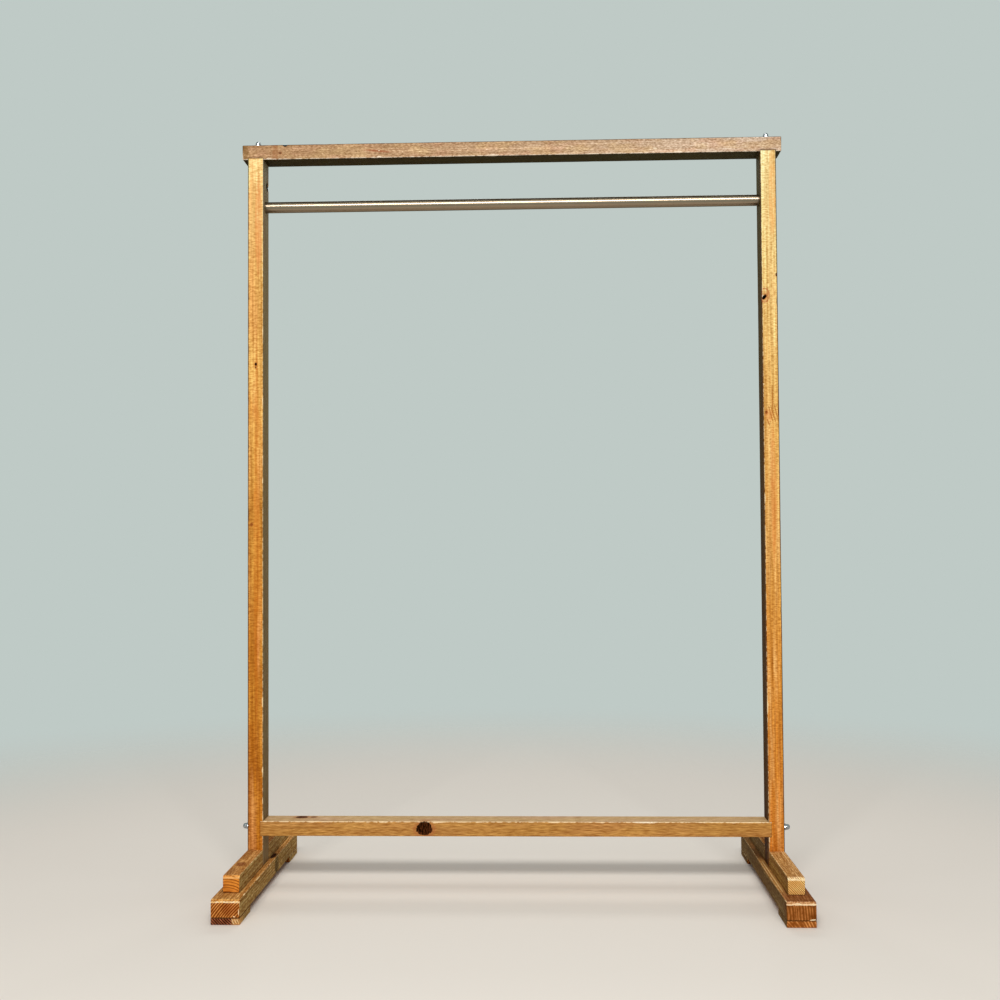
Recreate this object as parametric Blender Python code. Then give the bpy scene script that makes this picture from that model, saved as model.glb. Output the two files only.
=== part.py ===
"""Free-standing clothes rack: a timber frame with a steel hanging pipe, on two stacked timber feet.

Metres, +Z up. The origin is on the floor under the middle of the rack. X runs along the hanging pipe,
and the front of the rack faces -Y.
"""
import math

import bmesh
import bpy
from mathutils import Matrix, Vector

# Overall sizes
RACK_HEIGHT = 1.687             # floor to the top of the rail
FRAME_WIDTH = 1.200             # over the outer faces of the posts
FOOT_LENGTH = 0.600             # front to back

# Top rail, laid flat over the posts
RAIL_THICKNESS = 0.0335
RAIL_DEPTH = 0.060
RAIL_OVERHANG = 0.0125          # past the outer face of each post
RAIL_HOUSING_DEPTH = 0.0035     # how far the post tops are let into the rail

# Posts
POST_WIDTH = 0.035
POST_DEPTH = 0.060

# Stretcher near the floor
STRETCHER_HEIGHT = 0.033
STRETCHER_DEPTH = 0.060
STRETCHER_UNDERSIDE = 0.118     # above the floor
STRETCHER_HOUSING_DEPTH = 0.0065

# Hanging pipe, in blind sockets
PIPE_DIAMETER = 0.025
PIPE_WALL = 0.0015
PIPE_DROP = 0.1035              # from the rail's underside down to the pipe's axis
PIPE_SOCKET_DEPTH = 0.018
PIPE_END_CHAMFER = 0.0004

# Feet: pads under a runner, and blocks on it that clasp the post
PAD_THICKNESS = 0.014
PAD_LENGTH = 0.095
RUNNER_WIDTH = 0.060
RUNNER_HEIGHT = 0.037
BLOCK_WIDTH = 0.035
BLOCK_HEIGHT = 0.0355
BLOCK_SETBACK = 0.050           # from the runner's end to the block's end

# Eased edges of the timber
ARRIS = 0.0012                  # long edges
END_CHAMFER = 0.005             # top edge at the free ends of runners and blocks

# Hanger bolts with a washer and a cap nut
BOLT_DIAMETER = 0.008
BOLT_EMBEDMENT = 0.045          # wood thread in the end grain
BOLT_IN_NUT = 0.010
BOLT_POINT = 0.009
BOLT_END_CHAMFER = 0.001
WASHER_DIAMETER = 0.0165
WASHER_THICKNESS = 0.0016
NUT_ACROSS_FLATS = 0.013
NUT_HEX_HEIGHT = 0.0065
NUT_CORNER_CHAMFER = 0.0009     # height taken off the hexagon's corners
NUT_HEIGHT = 0.015
NUT_DOME_DIAMETER = 0.0122
NUT_BORE_DEPTH = 0.011

# Countersunk wood screws, driven from below
SCREW_DIAMETER = 0.0042
SCREW_HEAD_DIAMETER = 0.0084
SCREW_HEAD_RECESS = 0.001       # head below the face of the timber
SCREW_POINT = 0.006
LONG_SCREW_LENGTH = 0.065       # through the runner into a post or block
PAD_SCREW_LENGTH = 0.038        # through a pad into the runner
POST_SCREW_SPACING = 0.030
BLOCK_SCREW_INSET = 0.040       # from the post's face, and from the pad's inner end
PAD_SCREW_SPACING = 0.047

# Fits
SEAM = 0.0003                   # gap between pieces that touch
OVERRUN = 0.010                 # how far a cutter runs past the face that it opens

# Facets
PIPE_SIDES = 48
FASTENER_SIDES = 24
SCREW_SIDES = 12
DOME_RINGS = 5

# Levels and places that follow from the sizes above
RUNNER_UNDERSIDE = PAD_THICKNESS + SEAM
RUNNER_TOP = RUNNER_UNDERSIDE + RUNNER_HEIGHT
BLOCK_UNDERSIDE = RUNNER_TOP + SEAM
BLOCK_TOP = BLOCK_UNDERSIDE + BLOCK_HEIGHT
RAIL_UNDERSIDE = RACK_HEIGHT - RAIL_THICKNESS
HOUSING_CEILING = RAIL_UNDERSIDE + RAIL_HOUSING_DEPTH
PIPE_AXIS_HEIGHT = RAIL_UNDERSIDE - PIPE_DROP
POST_OUTER = FRAME_WIDTH / 2
POST_INNER = POST_OUTER - POST_WIDTH
POST_CENTRE = (POST_OUTER + POST_INNER) / 2
STRETCHER_AXIS_HEIGHT = STRETCHER_UNDERSIDE + STRETCHER_HEIGHT / 2
STRETCHER_END = POST_INNER + STRETCHER_HOUSING_DEPTH - SEAM
PIPE_END = POST_INNER + PIPE_SOCKET_DEPTH - SEAM
FOOT_END = FOOT_LENGTH / 2
PAD_INNER_END = FOOT_END - PAD_LENGTH
PAD_CENTRE = FOOT_END - PAD_LENGTH / 2
BLOCK_END = FOOT_END - BLOCK_SETBACK

SIDES = (("left", -1), ("right", 1))
ENDS = (("front", -1), ("rear", 1))


def clear_scene():
    """Remove whatever the file holds."""
    for obj in list(bpy.data.objects):
        bpy.data.objects.remove(obj, do_unlink=True)


def finish(name, colour, roughness, metallic=0.0):
    """Principled material from an sRGB colour in whole numbers."""
    linear = [(c / 255 / 12.92) if c <= 10 else ((c / 255 + 0.055) / 1.055) ** 2.4 for c in colour]
    material = bpy.data.materials.new(name)
    material.use_nodes = True
    shader = material.node_tree.nodes["Principled BSDF"]
    shader.inputs["Base Color"].default_value = (*linear, 1.0)
    shader.inputs["Roughness"].default_value = roughness
    shader.inputs["Metallic"].default_value = metallic
    return material


def place(name, bm, material=None, frame=None):
    """Turn a bmesh into a named object that stands in the given frame."""
    mesh = bpy.data.meshes.new(name)
    bm.to_mesh(mesh)
    bm.free()
    obj = bpy.data.objects.new(name, mesh)
    bpy.context.collection.objects.link(obj)
    if frame is not None:
        obj.location = frame.to_translation()
        obj.rotation_euler = frame.to_euler()
    if material is not None:
        mesh.materials.append(material)
    return obj


def as_cutter(obj):
    """Mark an object as a cutting tool that is no piece of the rack."""
    obj.hide_render = True
    obj.display_type = "WIRE"
    return obj


def cut(pieces, cutter):
    """Take the cutter's shape out of each of the pieces."""
    for piece in pieces:
        modifier = piece.modifiers.new(cutter.name, "BOOLEAN")
        modifier.operation = "DIFFERENCE"
        modifier.solver = "EXACT"
        modifier.object = cutter


def add_box(bm, low, high):
    """Add a plain box between two corners."""
    low, high = Vector(low), Vector(high)
    fit = Matrix.LocRotScale((low + high) / 2, None, high - low)
    bmesh.ops.create_cube(bm, size=1.0, matrix=fit)


def board(name, low, high, material, chamfered_ends=()):
    """Timber between two corners with eased arrises.

    chamfered_ends lists the ends in Y, -1 or 1, whose top edge has the wide chamfer.
    """
    centre = (Vector(low) + Vector(high)) / 2
    bm = bmesh.new()
    weight = bm.edges.layers.float.new("bevel_weight_edge")
    add_box(bm, Vector(low) - centre, Vector(high) - centre)
    for edge in bm.edges:
        on_top = all(vert.co.z > 0 for vert in edge.verts)
        at_end = any(all(vert.co.y * end > 0 for vert in edge.verts) for end in chamfered_ends)
        edge[weight] = 1.0 if on_top and at_end else ARRIS / END_CHAMFER
    obj = place(name, bm, material, Matrix.Translation(centre))
    bevel = obj.modifiers.new("arrises", "BEVEL")
    bevel.limit_method = "WEIGHT"
    bevel.offset_type = "OFFSET"
    bevel.width = END_CHAMFER
    bevel.segments = 1
    bevel.use_clamp_overlap = False
    return obj


def circle(radius, angle):
    """Radius of a round ring at an angle."""
    return radius


def hexagon(radius, angle):
    """Radius of a hexagonal ring at an angle, for a given half width across the flats."""
    flat = math.tau / 6
    return radius / math.cos(angle % flat - flat / 2)


def turn(bm, profile, sides, frame=Matrix.Identity(4), closed=False):
    """Add a solid made by carrying a profile round the frame's Z axis.

    The profile is a list of (radius, height) or (radius, height, ring shape), and runs up the
    outer side. A radius of zero is a point on the axis. A closed profile makes a tube or ring.
    """
    rings = []
    for radius, height, *shape in profile:
        if radius == 0:
            rings.append([bm.verts.new(frame @ Vector((0, 0, height)))] * sides)
            continue
        ring_shape = shape[0] if shape else circle
        ring = []
        for step in range(sides):
            angle = math.tau * step / sides
            reach = ring_shape(radius, angle)
            ring.append(bm.verts.new(frame @ Vector((reach * math.cos(angle), reach * math.sin(angle), height))))
        rings.append(ring)
    pairs = list(zip(rings, rings[1:]))
    if closed:
        pairs.append((rings[-1], rings[0]))
    for lower, upper in pairs:
        for step in range(sides):
            after = (step + 1) % sides
            corners = [lower[step], lower[after], upper[after], upper[step]]
            bm.faces.new(list(dict.fromkeys(corners)))


def smooth(obj, crease=math.radians(35)):
    """Shade a round piece smooth, with its edges kept."""
    obj.data.shade_smooth()
    obj.data.set_sharp_from_angle(angle=crease)
    return obj


def turned(name, profile, sides, material, frame, closed=False):
    """One turned piece as an object."""
    bm = bmesh.new()
    turn(bm, profile, sides, closed=closed)
    return smooth(place(name, bm, material, frame))


def facing(point, direction):
    """Frame at a point, with its Z axis in the given direction."""
    turned_up = Vector(direction).to_track_quat("Z", "Y").to_matrix().to_4x4()
    return Matrix.Translation(point) @ turned_up


def build_frame(timber, rail_timber, steel):
    """Posts, rail, stretcher and pipe, cut to fit one another."""
    half_rail = POST_OUTER + RAIL_OVERHANG
    rail = board("top_rail", (-half_rail, -RAIL_DEPTH / 2, RAIL_UNDERSIDE),
                 (half_rail, RAIL_DEPTH / 2, RACK_HEIGHT), rail_timber)
    stretcher = board("stretcher", (-STRETCHER_END, -STRETCHER_DEPTH / 2, STRETCHER_UNDERSIDE),
                      (STRETCHER_END, STRETCHER_DEPTH / 2, STRETCHER_UNDERSIDE + STRETCHER_HEIGHT), timber)
    posts = {}
    for side, sign in SIDES:
        outer, inner = sorted((sign * POST_OUTER, sign * POST_INNER))
        posts[side] = board(f"{side}_post", (outer, -POST_DEPTH / 2, BLOCK_UNDERSIDE),
                            (inner, POST_DEPTH / 2, HOUSING_CEILING - SEAM), timber)

    bm = bmesh.new()
    for side, sign in SIDES:
        reach = POST_WIDTH / 2 + SEAM
        add_box(bm, (sign * POST_CENTRE - reach, -POST_DEPTH / 2 - SEAM, RAIL_UNDERSIDE - OVERRUN),
                (sign * POST_CENTRE + reach, POST_DEPTH / 2 + SEAM, HOUSING_CEILING))
    cut([rail], as_cutter(place("rail_housings", bm)))

    bm = bmesh.new()
    add_box(bm, (-STRETCHER_END - SEAM, -STRETCHER_DEPTH / 2 - SEAM, STRETCHER_UNDERSIDE - SEAM),
            (STRETCHER_END + SEAM, STRETCHER_DEPTH / 2 + SEAM, STRETCHER_UNDERSIDE + STRETCHER_HEIGHT + SEAM))
    cut(posts.values(), as_cutter(place("stretcher_housings", bm)))

    along = facing((0, 0, PIPE_AXIS_HEIGHT), (1, 0, 0))
    outer = PIPE_DIAMETER / 2
    bore = outer - PIPE_WALL
    eased = PIPE_END - PIPE_END_CHAMFER
    turned("hanging_pipe", [(outer - PIPE_END_CHAMFER, -PIPE_END), (outer, -eased), (outer, eased),
                            (outer - PIPE_END_CHAMFER, PIPE_END), (bore, PIPE_END), (bore, -PIPE_END)],
           PIPE_SIDES, steel, along, closed=True)
    bm = bmesh.new()
    socket = outer + SEAM
    turn(bm, [(0, -PIPE_END - SEAM), (socket, -PIPE_END - SEAM), (socket, PIPE_END + SEAM),
              (0, PIPE_END + SEAM)], PIPE_SIDES)
    cut(posts.values(), as_cutter(place("pipe_sockets", bm, frame=along)))
    return rail, posts, stretcher


def nut_profile():
    """Cap nut: a chamfered hexagon under a dome, with a blind bore. The seat is at height zero."""
    bore = BOLT_DIAMETER / 2 + SEAM
    flat = NUT_ACROSS_FLATS / 2
    dome = NUT_DOME_DIAMETER / 2
    shoulder = NUT_HEIGHT - dome
    profile = [(0, NUT_BORE_DEPTH), (bore, NUT_BORE_DEPTH), (bore, 0), (flat, 0),
               (flat, NUT_CORNER_CHAMFER, hexagon), (flat, NUT_HEX_HEIGHT - NUT_CORNER_CHAMFER, hexagon),
               (flat, NUT_HEX_HEIGHT), (dome, NUT_HEX_HEIGHT), (dome, shoulder)]
    for ring in range(1, DOME_RINGS):
        rise = math.radians(90) * ring / DOME_RINGS
        profile.append((dome * math.cos(rise), shoulder + dome * math.sin(rise)))
    return profile + [(0, NUT_HEIGHT)]


def build_fastenings(rail, posts, stretcher, steel):
    """Hanger bolts, washers and cap nuts, with the holes that they pass through."""
    top_hold = RACK_HEIGHT - (HOUSING_CEILING - SEAM)
    side_hold = POST_OUTER - STRETCHER_END
    radius = BOLT_DIAMETER / 2
    washer_seat = SEAM
    nut_seat = washer_seat + WASHER_THICKNESS + SEAM
    tip = nut_seat + BOLT_IN_NUT
    holes = bmesh.new()
    for side, sign in SIDES:
        seats = (("top", (sign * POST_CENTRE, 0, RACK_HEIGHT), (0, 0, 1), top_hold),
                 ("side", (sign * POST_OUTER, 0, STRETCHER_AXIS_HEIGHT), (sign, 0, 0), side_hold))
        for place_name, seat, outward, hold in seats:
            frame = facing(seat, outward)
            root = -hold - BOLT_EMBEDMENT
            turned(f"{side}_{place_name}_bolt",
                   [(0, root), (radius, root + BOLT_POINT), (radius, tip - BOLT_END_CHAMFER),
                    (radius - BOLT_END_CHAMFER, tip), (0, tip)], FASTENER_SIDES, steel, frame)
            turned(f"{side}_{place_name}_washer",
                   [(radius + SEAM, washer_seat), (WASHER_DIAMETER / 2, washer_seat),
                    (WASHER_DIAMETER / 2, washer_seat + WASHER_THICKNESS),
                    (radius + SEAM, washer_seat + WASHER_THICKNESS)],
                   FASTENER_SIDES, steel, frame, closed=True)
            turned(f"{side}_{place_name}_nut", nut_profile(), FASTENER_SIDES, steel,
                   frame @ Matrix.Translation((0, 0, nut_seat)))
            turn(holes, [(0, root - SEAM), (radius + SEAM, root + BOLT_POINT - SEAM),
                         (radius + SEAM, OVERRUN), (0, OVERRUN)], FASTENER_SIDES, frame)
    cut([rail, stretcher, *posts.values()], as_cutter(place("bolt_holes", holes)))


def screw_profile(length):
    """Countersunk screw, head up. The face of the timber is at height zero."""
    shank = SCREW_DIAMETER / 2
    head = SCREW_HEAD_DIAMETER / 2
    neck = -SCREW_HEAD_RECESS - (head - shank)
    return [(0, -length), (shank, SCREW_POINT - length), (shank, neck), (head, -SCREW_HEAD_RECESS),
            (0, -SCREW_HEAD_RECESS)]


def pilot_profile(length):
    """Hole for a screw: the screw's shape with the seam round it, open at the face."""
    point, start, neck, rim, _ = screw_profile(length)
    return [(0, point[1] - SEAM), (start[0] + SEAM, start[1]), (neck[0] + SEAM, neck[1]),
            (rim[0] + SEAM, rim[1]), (rim[0] + SEAM, OVERRUN), (0, OVERRUN)]


def foot_screws():
    """Name, place in Y, height of the face and length of each screw in one foot."""
    for end, sign in ENDS:
        yield f"post_screw_{end}", sign * POST_SCREW_SPACING / 2, RUNNER_UNDERSIDE, LONG_SCREW_LENGTH
        near = POST_DEPTH / 2 + BLOCK_SCREW_INSET
        far = PAD_INNER_END - BLOCK_SCREW_INSET
        for label, reach in (("near", near), ("far", far)):
            yield f"{end}_block_screw_{label}", sign * reach, RUNNER_UNDERSIDE, LONG_SCREW_LENGTH
        for label, step in (("inner", -1), ("outer", 1)):
            reach = PAD_CENTRE + step * PAD_SCREW_SPACING / 2
            yield f"{end}_pad_screw_{label}", sign * reach, 0.0, PAD_SCREW_LENGTH


def build_foot(side, sign, post, timber, steel):
    """Runner, pads, blocks and screws under one post."""
    centre = sign * POST_CENTRE
    timbers = [board(f"{side}_runner", (centre - RUNNER_WIDTH / 2, -FOOT_END, RUNNER_UNDERSIDE),
                     (centre + RUNNER_WIDTH / 2, FOOT_END, RUNNER_TOP), timber, chamfered_ends=(-1, 1))]
    for end, facing_end in ENDS:
        pad_near, pad_far = sorted((facing_end * PAD_INNER_END, facing_end * FOOT_END))
        timbers.append(board(f"{side}_{end}_pad", (centre - RUNNER_WIDTH / 2, pad_near, 0.0),
                             (centre + RUNNER_WIDTH / 2, pad_far, PAD_THICKNESS), timber))
        near, far = sorted((facing_end * (POST_DEPTH / 2 + SEAM), facing_end * BLOCK_END))
        timbers.append(board(f"{side}_{end}_block", (centre - BLOCK_WIDTH / 2, near, BLOCK_UNDERSIDE),
                             (centre + BLOCK_WIDTH / 2, far, BLOCK_TOP), timber, chamfered_ends=(facing_end,)))
    pilots = bmesh.new()
    for name, reach, face, length in foot_screws():
        frame = facing((centre, reach, face), (0, 0, -1))
        turned(f"{side}_{name}", screw_profile(length), SCREW_SIDES, steel, frame)
        turn(pilots, pilot_profile(length), SCREW_SIDES, frame)
    cut([post, *timbers], as_cutter(place(f"{side}_foot_pilots", pilots)))


def main():
    """Build the whole rack."""
    clear_scene()
    honey = finish("honey_timber", (206, 145, 78), 0.55)
    weathered = finish("weathered_timber", (160, 118, 88), 0.65)
    brown = finish("foot_timber", (158, 108, 60), 0.6)
    steel = finish("stainless_steel", (196, 198, 200), 0.22, metallic=1.0)
    zinc = finish("zinc_plated_steel", (176, 178, 174), 0.4, metallic=1.0)
    rail, posts, stretcher = build_frame(honey, weathered, steel)
    build_fastenings(rail, posts, stretcher, steel)
    for side, sign in SIDES:
        build_foot(side, sign, posts[side], brown, zinc)


main()
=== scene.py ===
"""Looks of a free-standing clothes rack in worn softwood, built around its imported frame.

Every piece takes its place from the frame's boxes. Timbers are rebuilt as fine meshes with worn arrises,
carved for their joints, and finished with a grain that runs through the board from end to end.
"""
import logging
import math
from collections.abc import Iterable, Sequence
from dataclasses import dataclass, field, replace
from enum import Enum

import bmesh
import bpy
from mathutils import Matrix, Vector, noise


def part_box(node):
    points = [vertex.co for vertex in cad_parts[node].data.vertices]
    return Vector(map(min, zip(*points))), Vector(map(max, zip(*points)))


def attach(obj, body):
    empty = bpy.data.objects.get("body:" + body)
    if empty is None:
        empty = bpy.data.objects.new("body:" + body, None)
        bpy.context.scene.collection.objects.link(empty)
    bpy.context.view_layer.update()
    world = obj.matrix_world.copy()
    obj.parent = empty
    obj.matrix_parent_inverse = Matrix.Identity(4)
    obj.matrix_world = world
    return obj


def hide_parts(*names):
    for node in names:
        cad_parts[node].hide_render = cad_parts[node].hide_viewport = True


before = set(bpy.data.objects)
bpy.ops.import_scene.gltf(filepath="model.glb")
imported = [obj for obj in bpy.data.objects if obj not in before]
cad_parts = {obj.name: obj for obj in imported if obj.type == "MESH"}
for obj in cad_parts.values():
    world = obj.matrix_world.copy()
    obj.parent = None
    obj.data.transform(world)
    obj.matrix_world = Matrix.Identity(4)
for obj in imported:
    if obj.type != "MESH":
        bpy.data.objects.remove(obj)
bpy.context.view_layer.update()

BODY = "root"
SEAM = 0.0003
LOG = logging.getLogger("rack")

Rgb = tuple[int, int, int]
Pair = tuple[float, float]
Triple = tuple[float, float, float]
Socket = bpy.types.NodeSocket
Value = Socket | float | Sequence[float]


class Axis(Enum):
    """A direction of the frame, as an index into a vector."""

    X = 0
    Y = 1
    Z = 2


class Side(Enum):
    """A side of the rack, and its sign along X."""

    LEFT = -1
    RIGHT = 1

    @property
    def word(self) -> str:
        """The side's name, as the frame's nodes spell it."""
        return self.name.lower()


class End(Enum):
    """An end of a foot, and its sign along Y."""

    FRONT = -1
    REAR = 1


class Seat(Enum):
    """Where a cap nut sits: on the rail or on the outer face of a post."""

    TOP = "top"
    SIDE = "side"

    def outward(self, side: Side) -> Vector:
        """The way that the nut points, on one side of the rack."""
        return Vector((0, 0, 1)) if self is Seat.TOP else Vector((side.value, 0, 0))


def linear(colour: Rgb) -> tuple[float, float, float, float]:
    """Turn an sRGB colour into the linear one that a shader takes.

    Args:
        colour: red, green and blue in whole numbers up to 255.

    Returns:
        The linear colour with full alpha.
    """
    shares = [c / 255 for c in colour]
    red, green, blue = (s / 12.92 if s <= 0.04045 else ((s + 0.055) / 1.055) ** 2.4 for s in shares)
    return red, green, blue, 1.0


class Graph:
    """The shader nodes of a new material or world, added and linked by short calls."""

    def __init__(self, owner: bpy.types.ID) -> None:
        """Open the nodes.

        Args:
            owner: the new material or world.
        """
        owner.use_nodes = True
        self.owner = owner
        self.nodes = owner.node_tree.nodes

    def feed(self, node: bpy.types.Node, inputs: dict[str | int, Value]) -> None:
        """Link a node's sockets to other ones, or set their constants.

        Args:
            node: the node.
            inputs: what goes into its sockets, by name or number.
        """
        for key, value in inputs.items():
            if isinstance(value, Socket):
                self.owner.node_tree.links.new(value, node.inputs[key])
            else:
                node.inputs[key].default_value = value

    def add(self, kind: str, inputs: dict[str | int, Value], **settings: object) -> bpy.types.Node:
        """Add a node.

        Args:
            kind: Blender's name for the node.
            inputs: what goes into its sockets, by name or number.
            settings: the node's own properties.

        Returns:
            The node.
        """
        node = self.nodes.new(kind)
        for key, value in settings.items():
            setattr(node, key, value)
        self.feed(node, inputs)
        return node

    def surface(self, inputs: dict[str, Value]) -> bpy.types.Material:
        """Feed the Principled shader.

        Args:
            inputs: what goes into its sockets, by name.

        Returns:
            The finished material.
        """
        self.feed(self.nodes["Principled BSDF"], inputs)
        return self.owner

    def math(self, operation: str, *values: Value) -> Socket:
        """Add a sum of numbers.

        Args:
            operation: the Math node's operation.
            values: its inputs, in order.

        Returns:
            The result.
        """
        return self.add("ShaderNodeMath", dict(enumerate(values)), operation=operation).outputs[0]

    def times(self, value: Value, factor: Value) -> Socket:
        """Multiply two numbers."""
        return self.math("MULTIPLY", value, factor)

    def scaled(self, value: Value, factor: Value, start: Value) -> Socket:
        """Multiply two numbers and add a third."""
        return self.math("MULTIPLY_ADD", value, factor, start)

    def vector(self, operation: str, *values: Value) -> Socket:
        """Add a sum of vectors.

        Args:
            operation: the Vector Math node's operation.
            values: its inputs, in order.

        Returns:
            The vector, or the number for operations that give one.
        """
        node = self.add("ShaderNodeVectorMath", dict(enumerate(values)), operation=operation)
        return node.outputs["Value" if operation in {"LENGTH", "DOT_PRODUCT"} else "Vector"]

    def parts(self, vector: Socket) -> list[Socket]:
        """Split a vector into its three numbers."""
        return list(self.add("ShaderNodeSeparateXYZ", {0: vector}).outputs)

    def joined(self, *values: Value) -> Socket:
        """Join three numbers into a vector."""
        return self.add("ShaderNodeCombineXYZ", dict(enumerate(values))).outputs[0]

    def rise(self, value: Value, low: Value, high: Value, course: str = "SMOOTHSTEP") -> Socket:
        """Rise from 0 at the low value to 1 at the high one.

        Args:
            value: what is measured.
            low: where the rise starts.
            high: where it ends.
            course: how it rises between them.

        Returns:
            The share, from 0 to 1.
        """
        inputs = {"Value": value, "From Min": low, "From Max": high}
        return self.add("ShaderNodeMapRange", inputs, interpolation_type=course).outputs["Result"]

    def fall(self, value: Value, low: Value, high: Value) -> Socket:
        """Fall smoothly from 1 at the low value to 0 at the high one."""
        return self.math("SUBTRACT", 1.0, self.rise(value, low, high))

    def noise(self, place: Socket, scale: float, detail: float) -> Socket:
        """Add a noise.

        Args:
            place: the coordinates.
            scale: how many waves it has in each unit of them.
            detail: how many finer layers it has.

        Returns:
            Its value, about 0.5 on average.
        """
        return self.add("ShaderNodeTexNoise", {"Vector": place, "Scale": scale, "Detail": detail}).outputs[0]

    def mix(self, share: Value, first: Value, second: Value, blend: str = "MIX") -> Socket:
        """Mix two colours.

        Args:
            share: how much of the second.
            first: the first colour.
            second: the second colour.
            blend: how they mix.

        Returns:
            The colour.
        """
        node = self.add("ShaderNodeMix", {0: share, 6: first, 7: second}, data_type="RGBA", blend_type=blend,
                        clamp_result=blend == "MULTIPLY")
        return node.outputs[2]

    def bump(self, height: Socket, depth: float) -> Socket:
        """Make a relief.

        Args:
            height: the relief, from 0 to 1.
            depth: how deep it is, in metres.

        Returns:
            The way that the surface then looks.
        """
        return self.add("ShaderNodeBump", {"Height": height, "Distance": depth}).outputs[0]


@dataclass(frozen=True)
class Knot:
    """A knot, hole or nick on a face of a timber.

    Attributes:
        at: its centre on the face.
        face: the axis that the face looks along.
        radii: its half sizes along X, Y and Z; the one along the face's own axis is its depth.
        dark: how dark its heart is, from 0 to 1.
        swirl: by how many rings the grain bends round it.
        tilt: how far it is turned in the face, in degrees.
        sink: how deep its heart lies under the face, in metres.
        heart: the two colours of its heart.
        halo: the colour of the wood round it.
        haloed: how strong that colour is.
        ringed: how strong a thin line of it is a little outside the rim.
        frayed: how ragged the rim is.
    """

    at: Triple
    face: Axis
    radii: Triple
    dark: float = 1.0
    swirl: float = 2.0
    tilt: float = 0.0
    sink: float = 0.0
    heart: tuple[Rgb, Rgb] = ((38, 13, 3), (96, 50, 28))
    halo: Rgb = (158, 88, 44)
    haloed: float = 0.5
    ringed: float = 0.0
    frayed: float = 1.0

    @classmethod
    def patch(cls, at: Triple, face: Axis, radii: Triple, halo: Rgb, haloed: float, swirl: float = 0.0,
              **more: float) -> "Knot":
        """Make a soft patch of another colour, with no heart."""
        return cls(at, face, radii, 0.0, swirl, halo=halo, haloed=haloed, **more)

    @classmethod
    def mark(cls, at: Triple, face: Axis, radii: Triple, dark: float, heart: tuple[Rgb, Rgb],
             **more: float) -> "Knot":
        """Make a crisp mark in two colours, with no other colour round it."""
        return cls(at, face, radii, dark, 0.0, heart=heart, haloed=0.0, **more)

    @property
    def axis(self) -> Vector:
        """The direction of the face's own axis."""
        return Vector(1.0 if axis is self.face else 0.0 for axis in Axis)

    def distance(self, point: Vector) -> float:
        """Measure how far a point is from the centre, in the knot's own radii.

        Args:
            point: the point in the frame.

        Returns:
            The distance, 1 on the knot's rim.
        """
        away = Matrix.Rotation(-math.radians(self.tilt), 3, self.axis) @ (point - Vector(self.at))
        return Vector(part / radius for part, radius in zip(away, self.radii)).length


@dataclass(frozen=True)
class Growth:
    """How one timber lay in its tree.

    Attributes:
        pith: the tree's centre, from the timber's own, along the two axes that cross the grain.
        lean: how far the pith moves across for each metre along the grain.
        pitch: the width of one ring.
        seed: sets the timber's own wander and stains.
        wander: how far the rings wander, in metres.
        varied: how much the rings' widths differ.
    """

    pith: tuple[float, float]
    lean: tuple[float, float] = (0.0, 0.0)
    pitch: float = 0.0045
    seed: float = 0.0
    wander: float = 0.016
    varied: float = 2.4


@dataclass(frozen=True)
class Shade:
    """A tone on the faces that look one way: painted shade and light for how they are lit, with patina and
    dust.

    Attributes:
        facing: the way that those faces look.
        colour: the tone.
        share: how much of it there is, from 0 to 1.
        reach: how far from that way a face may look and still take the tone, as a cosine.
        broken: how much of it is rubbed away in small patches.
    """

    facing: Triple
    colour: Rgb
    share: float
    reach: float = 0.45
    broken: float = 0.0


@dataclass(frozen=True)
class TimberFinish:
    """Colours and wear of one kind of timber.

    Attributes:
        slot: a material slot's name; not used.
        early: the pale wood of a ring.
        late: the dark wood of a ring.
        stains: the colours of its stained patches.
        arris: the pale colour of its worn edges.
        end_early: one wood of a ring in end grain.
        end_late: the other wood of a ring in end grain.
        end_thin: how thin that wood's lines are there, 1 for as wide as on the faces.
        end_faded: how far those lines fade in places, from 0 to 1.
        contrast: how strongly the rings show on the faces.
        clouds: how many stained patches it has in a metre, along and across the grain.
        specks: the same for its specks.
        figure: the same for the marks of its figure.
        figured: how strong the figure is.
        warmth: how much more blue than red its dark marks lose, 1 for golden wood.
        streaked: how strong its long streaks are.
        stained: how much of the face is stained.
        specked: how many pale specks and dark pores it has, from 0 to 1.
        low_tint: what the colour is multiplied by at the timber's low end.
        roughness: how dull the surface is.
        wear: how wide the pale edge is, in metres.
        worn: the way to the edge that is worn most.
        kept: how much of that wear the other edges have.
        grime: how wide the dark edge is, in metres.
        grimed: the way to the edge that is darkened most.
        shine: how strongly the surface reflects, 0.5 for bare varnish.
        shades: the tones on some of its faces, painted shade and light with patina and dust.
    """

    slot: str
    early: Rgb
    late: Rgb
    stains: tuple[Rgb, ...]
    arris: Rgb
    end_early: Rgb
    end_late: Rgb
    end_thin: float = 1.0
    end_faded: float = 0.3
    contrast: float = 0.7
    clouds: Pair = (7.0, 30.0)
    specks: Pair = (130.0, 330.0)
    figure: Pair = (30.0, 150.0)
    figured: float = 0.3
    warmth: float = 1.0
    streaked: float = 0.25
    stained: float = 0.3
    specked: float = 0.2
    low_tint: Rgb = (255, 255, 255)
    roughness: float = 0.5
    wear: float = 0.0026
    worn: Triple = (0.0, -0.5, 0.5)
    kept: float = 0.3
    grime: float = 0.0
    grimed: Triple = (0.0, -0.5, 0.5)
    shine: float = 0.01
    shades: tuple[Shade, ...] = ()


@dataclass(frozen=True)
class Marks:
    """A noise whose marks follow the grain.

    Attributes:
        along: how many marks it has in a metre along the grain.
        across: how many it has across the grain.
        detail: how many finer layers it has.
    """

    along: float
    across: float
    detail: float = 3.0


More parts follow.
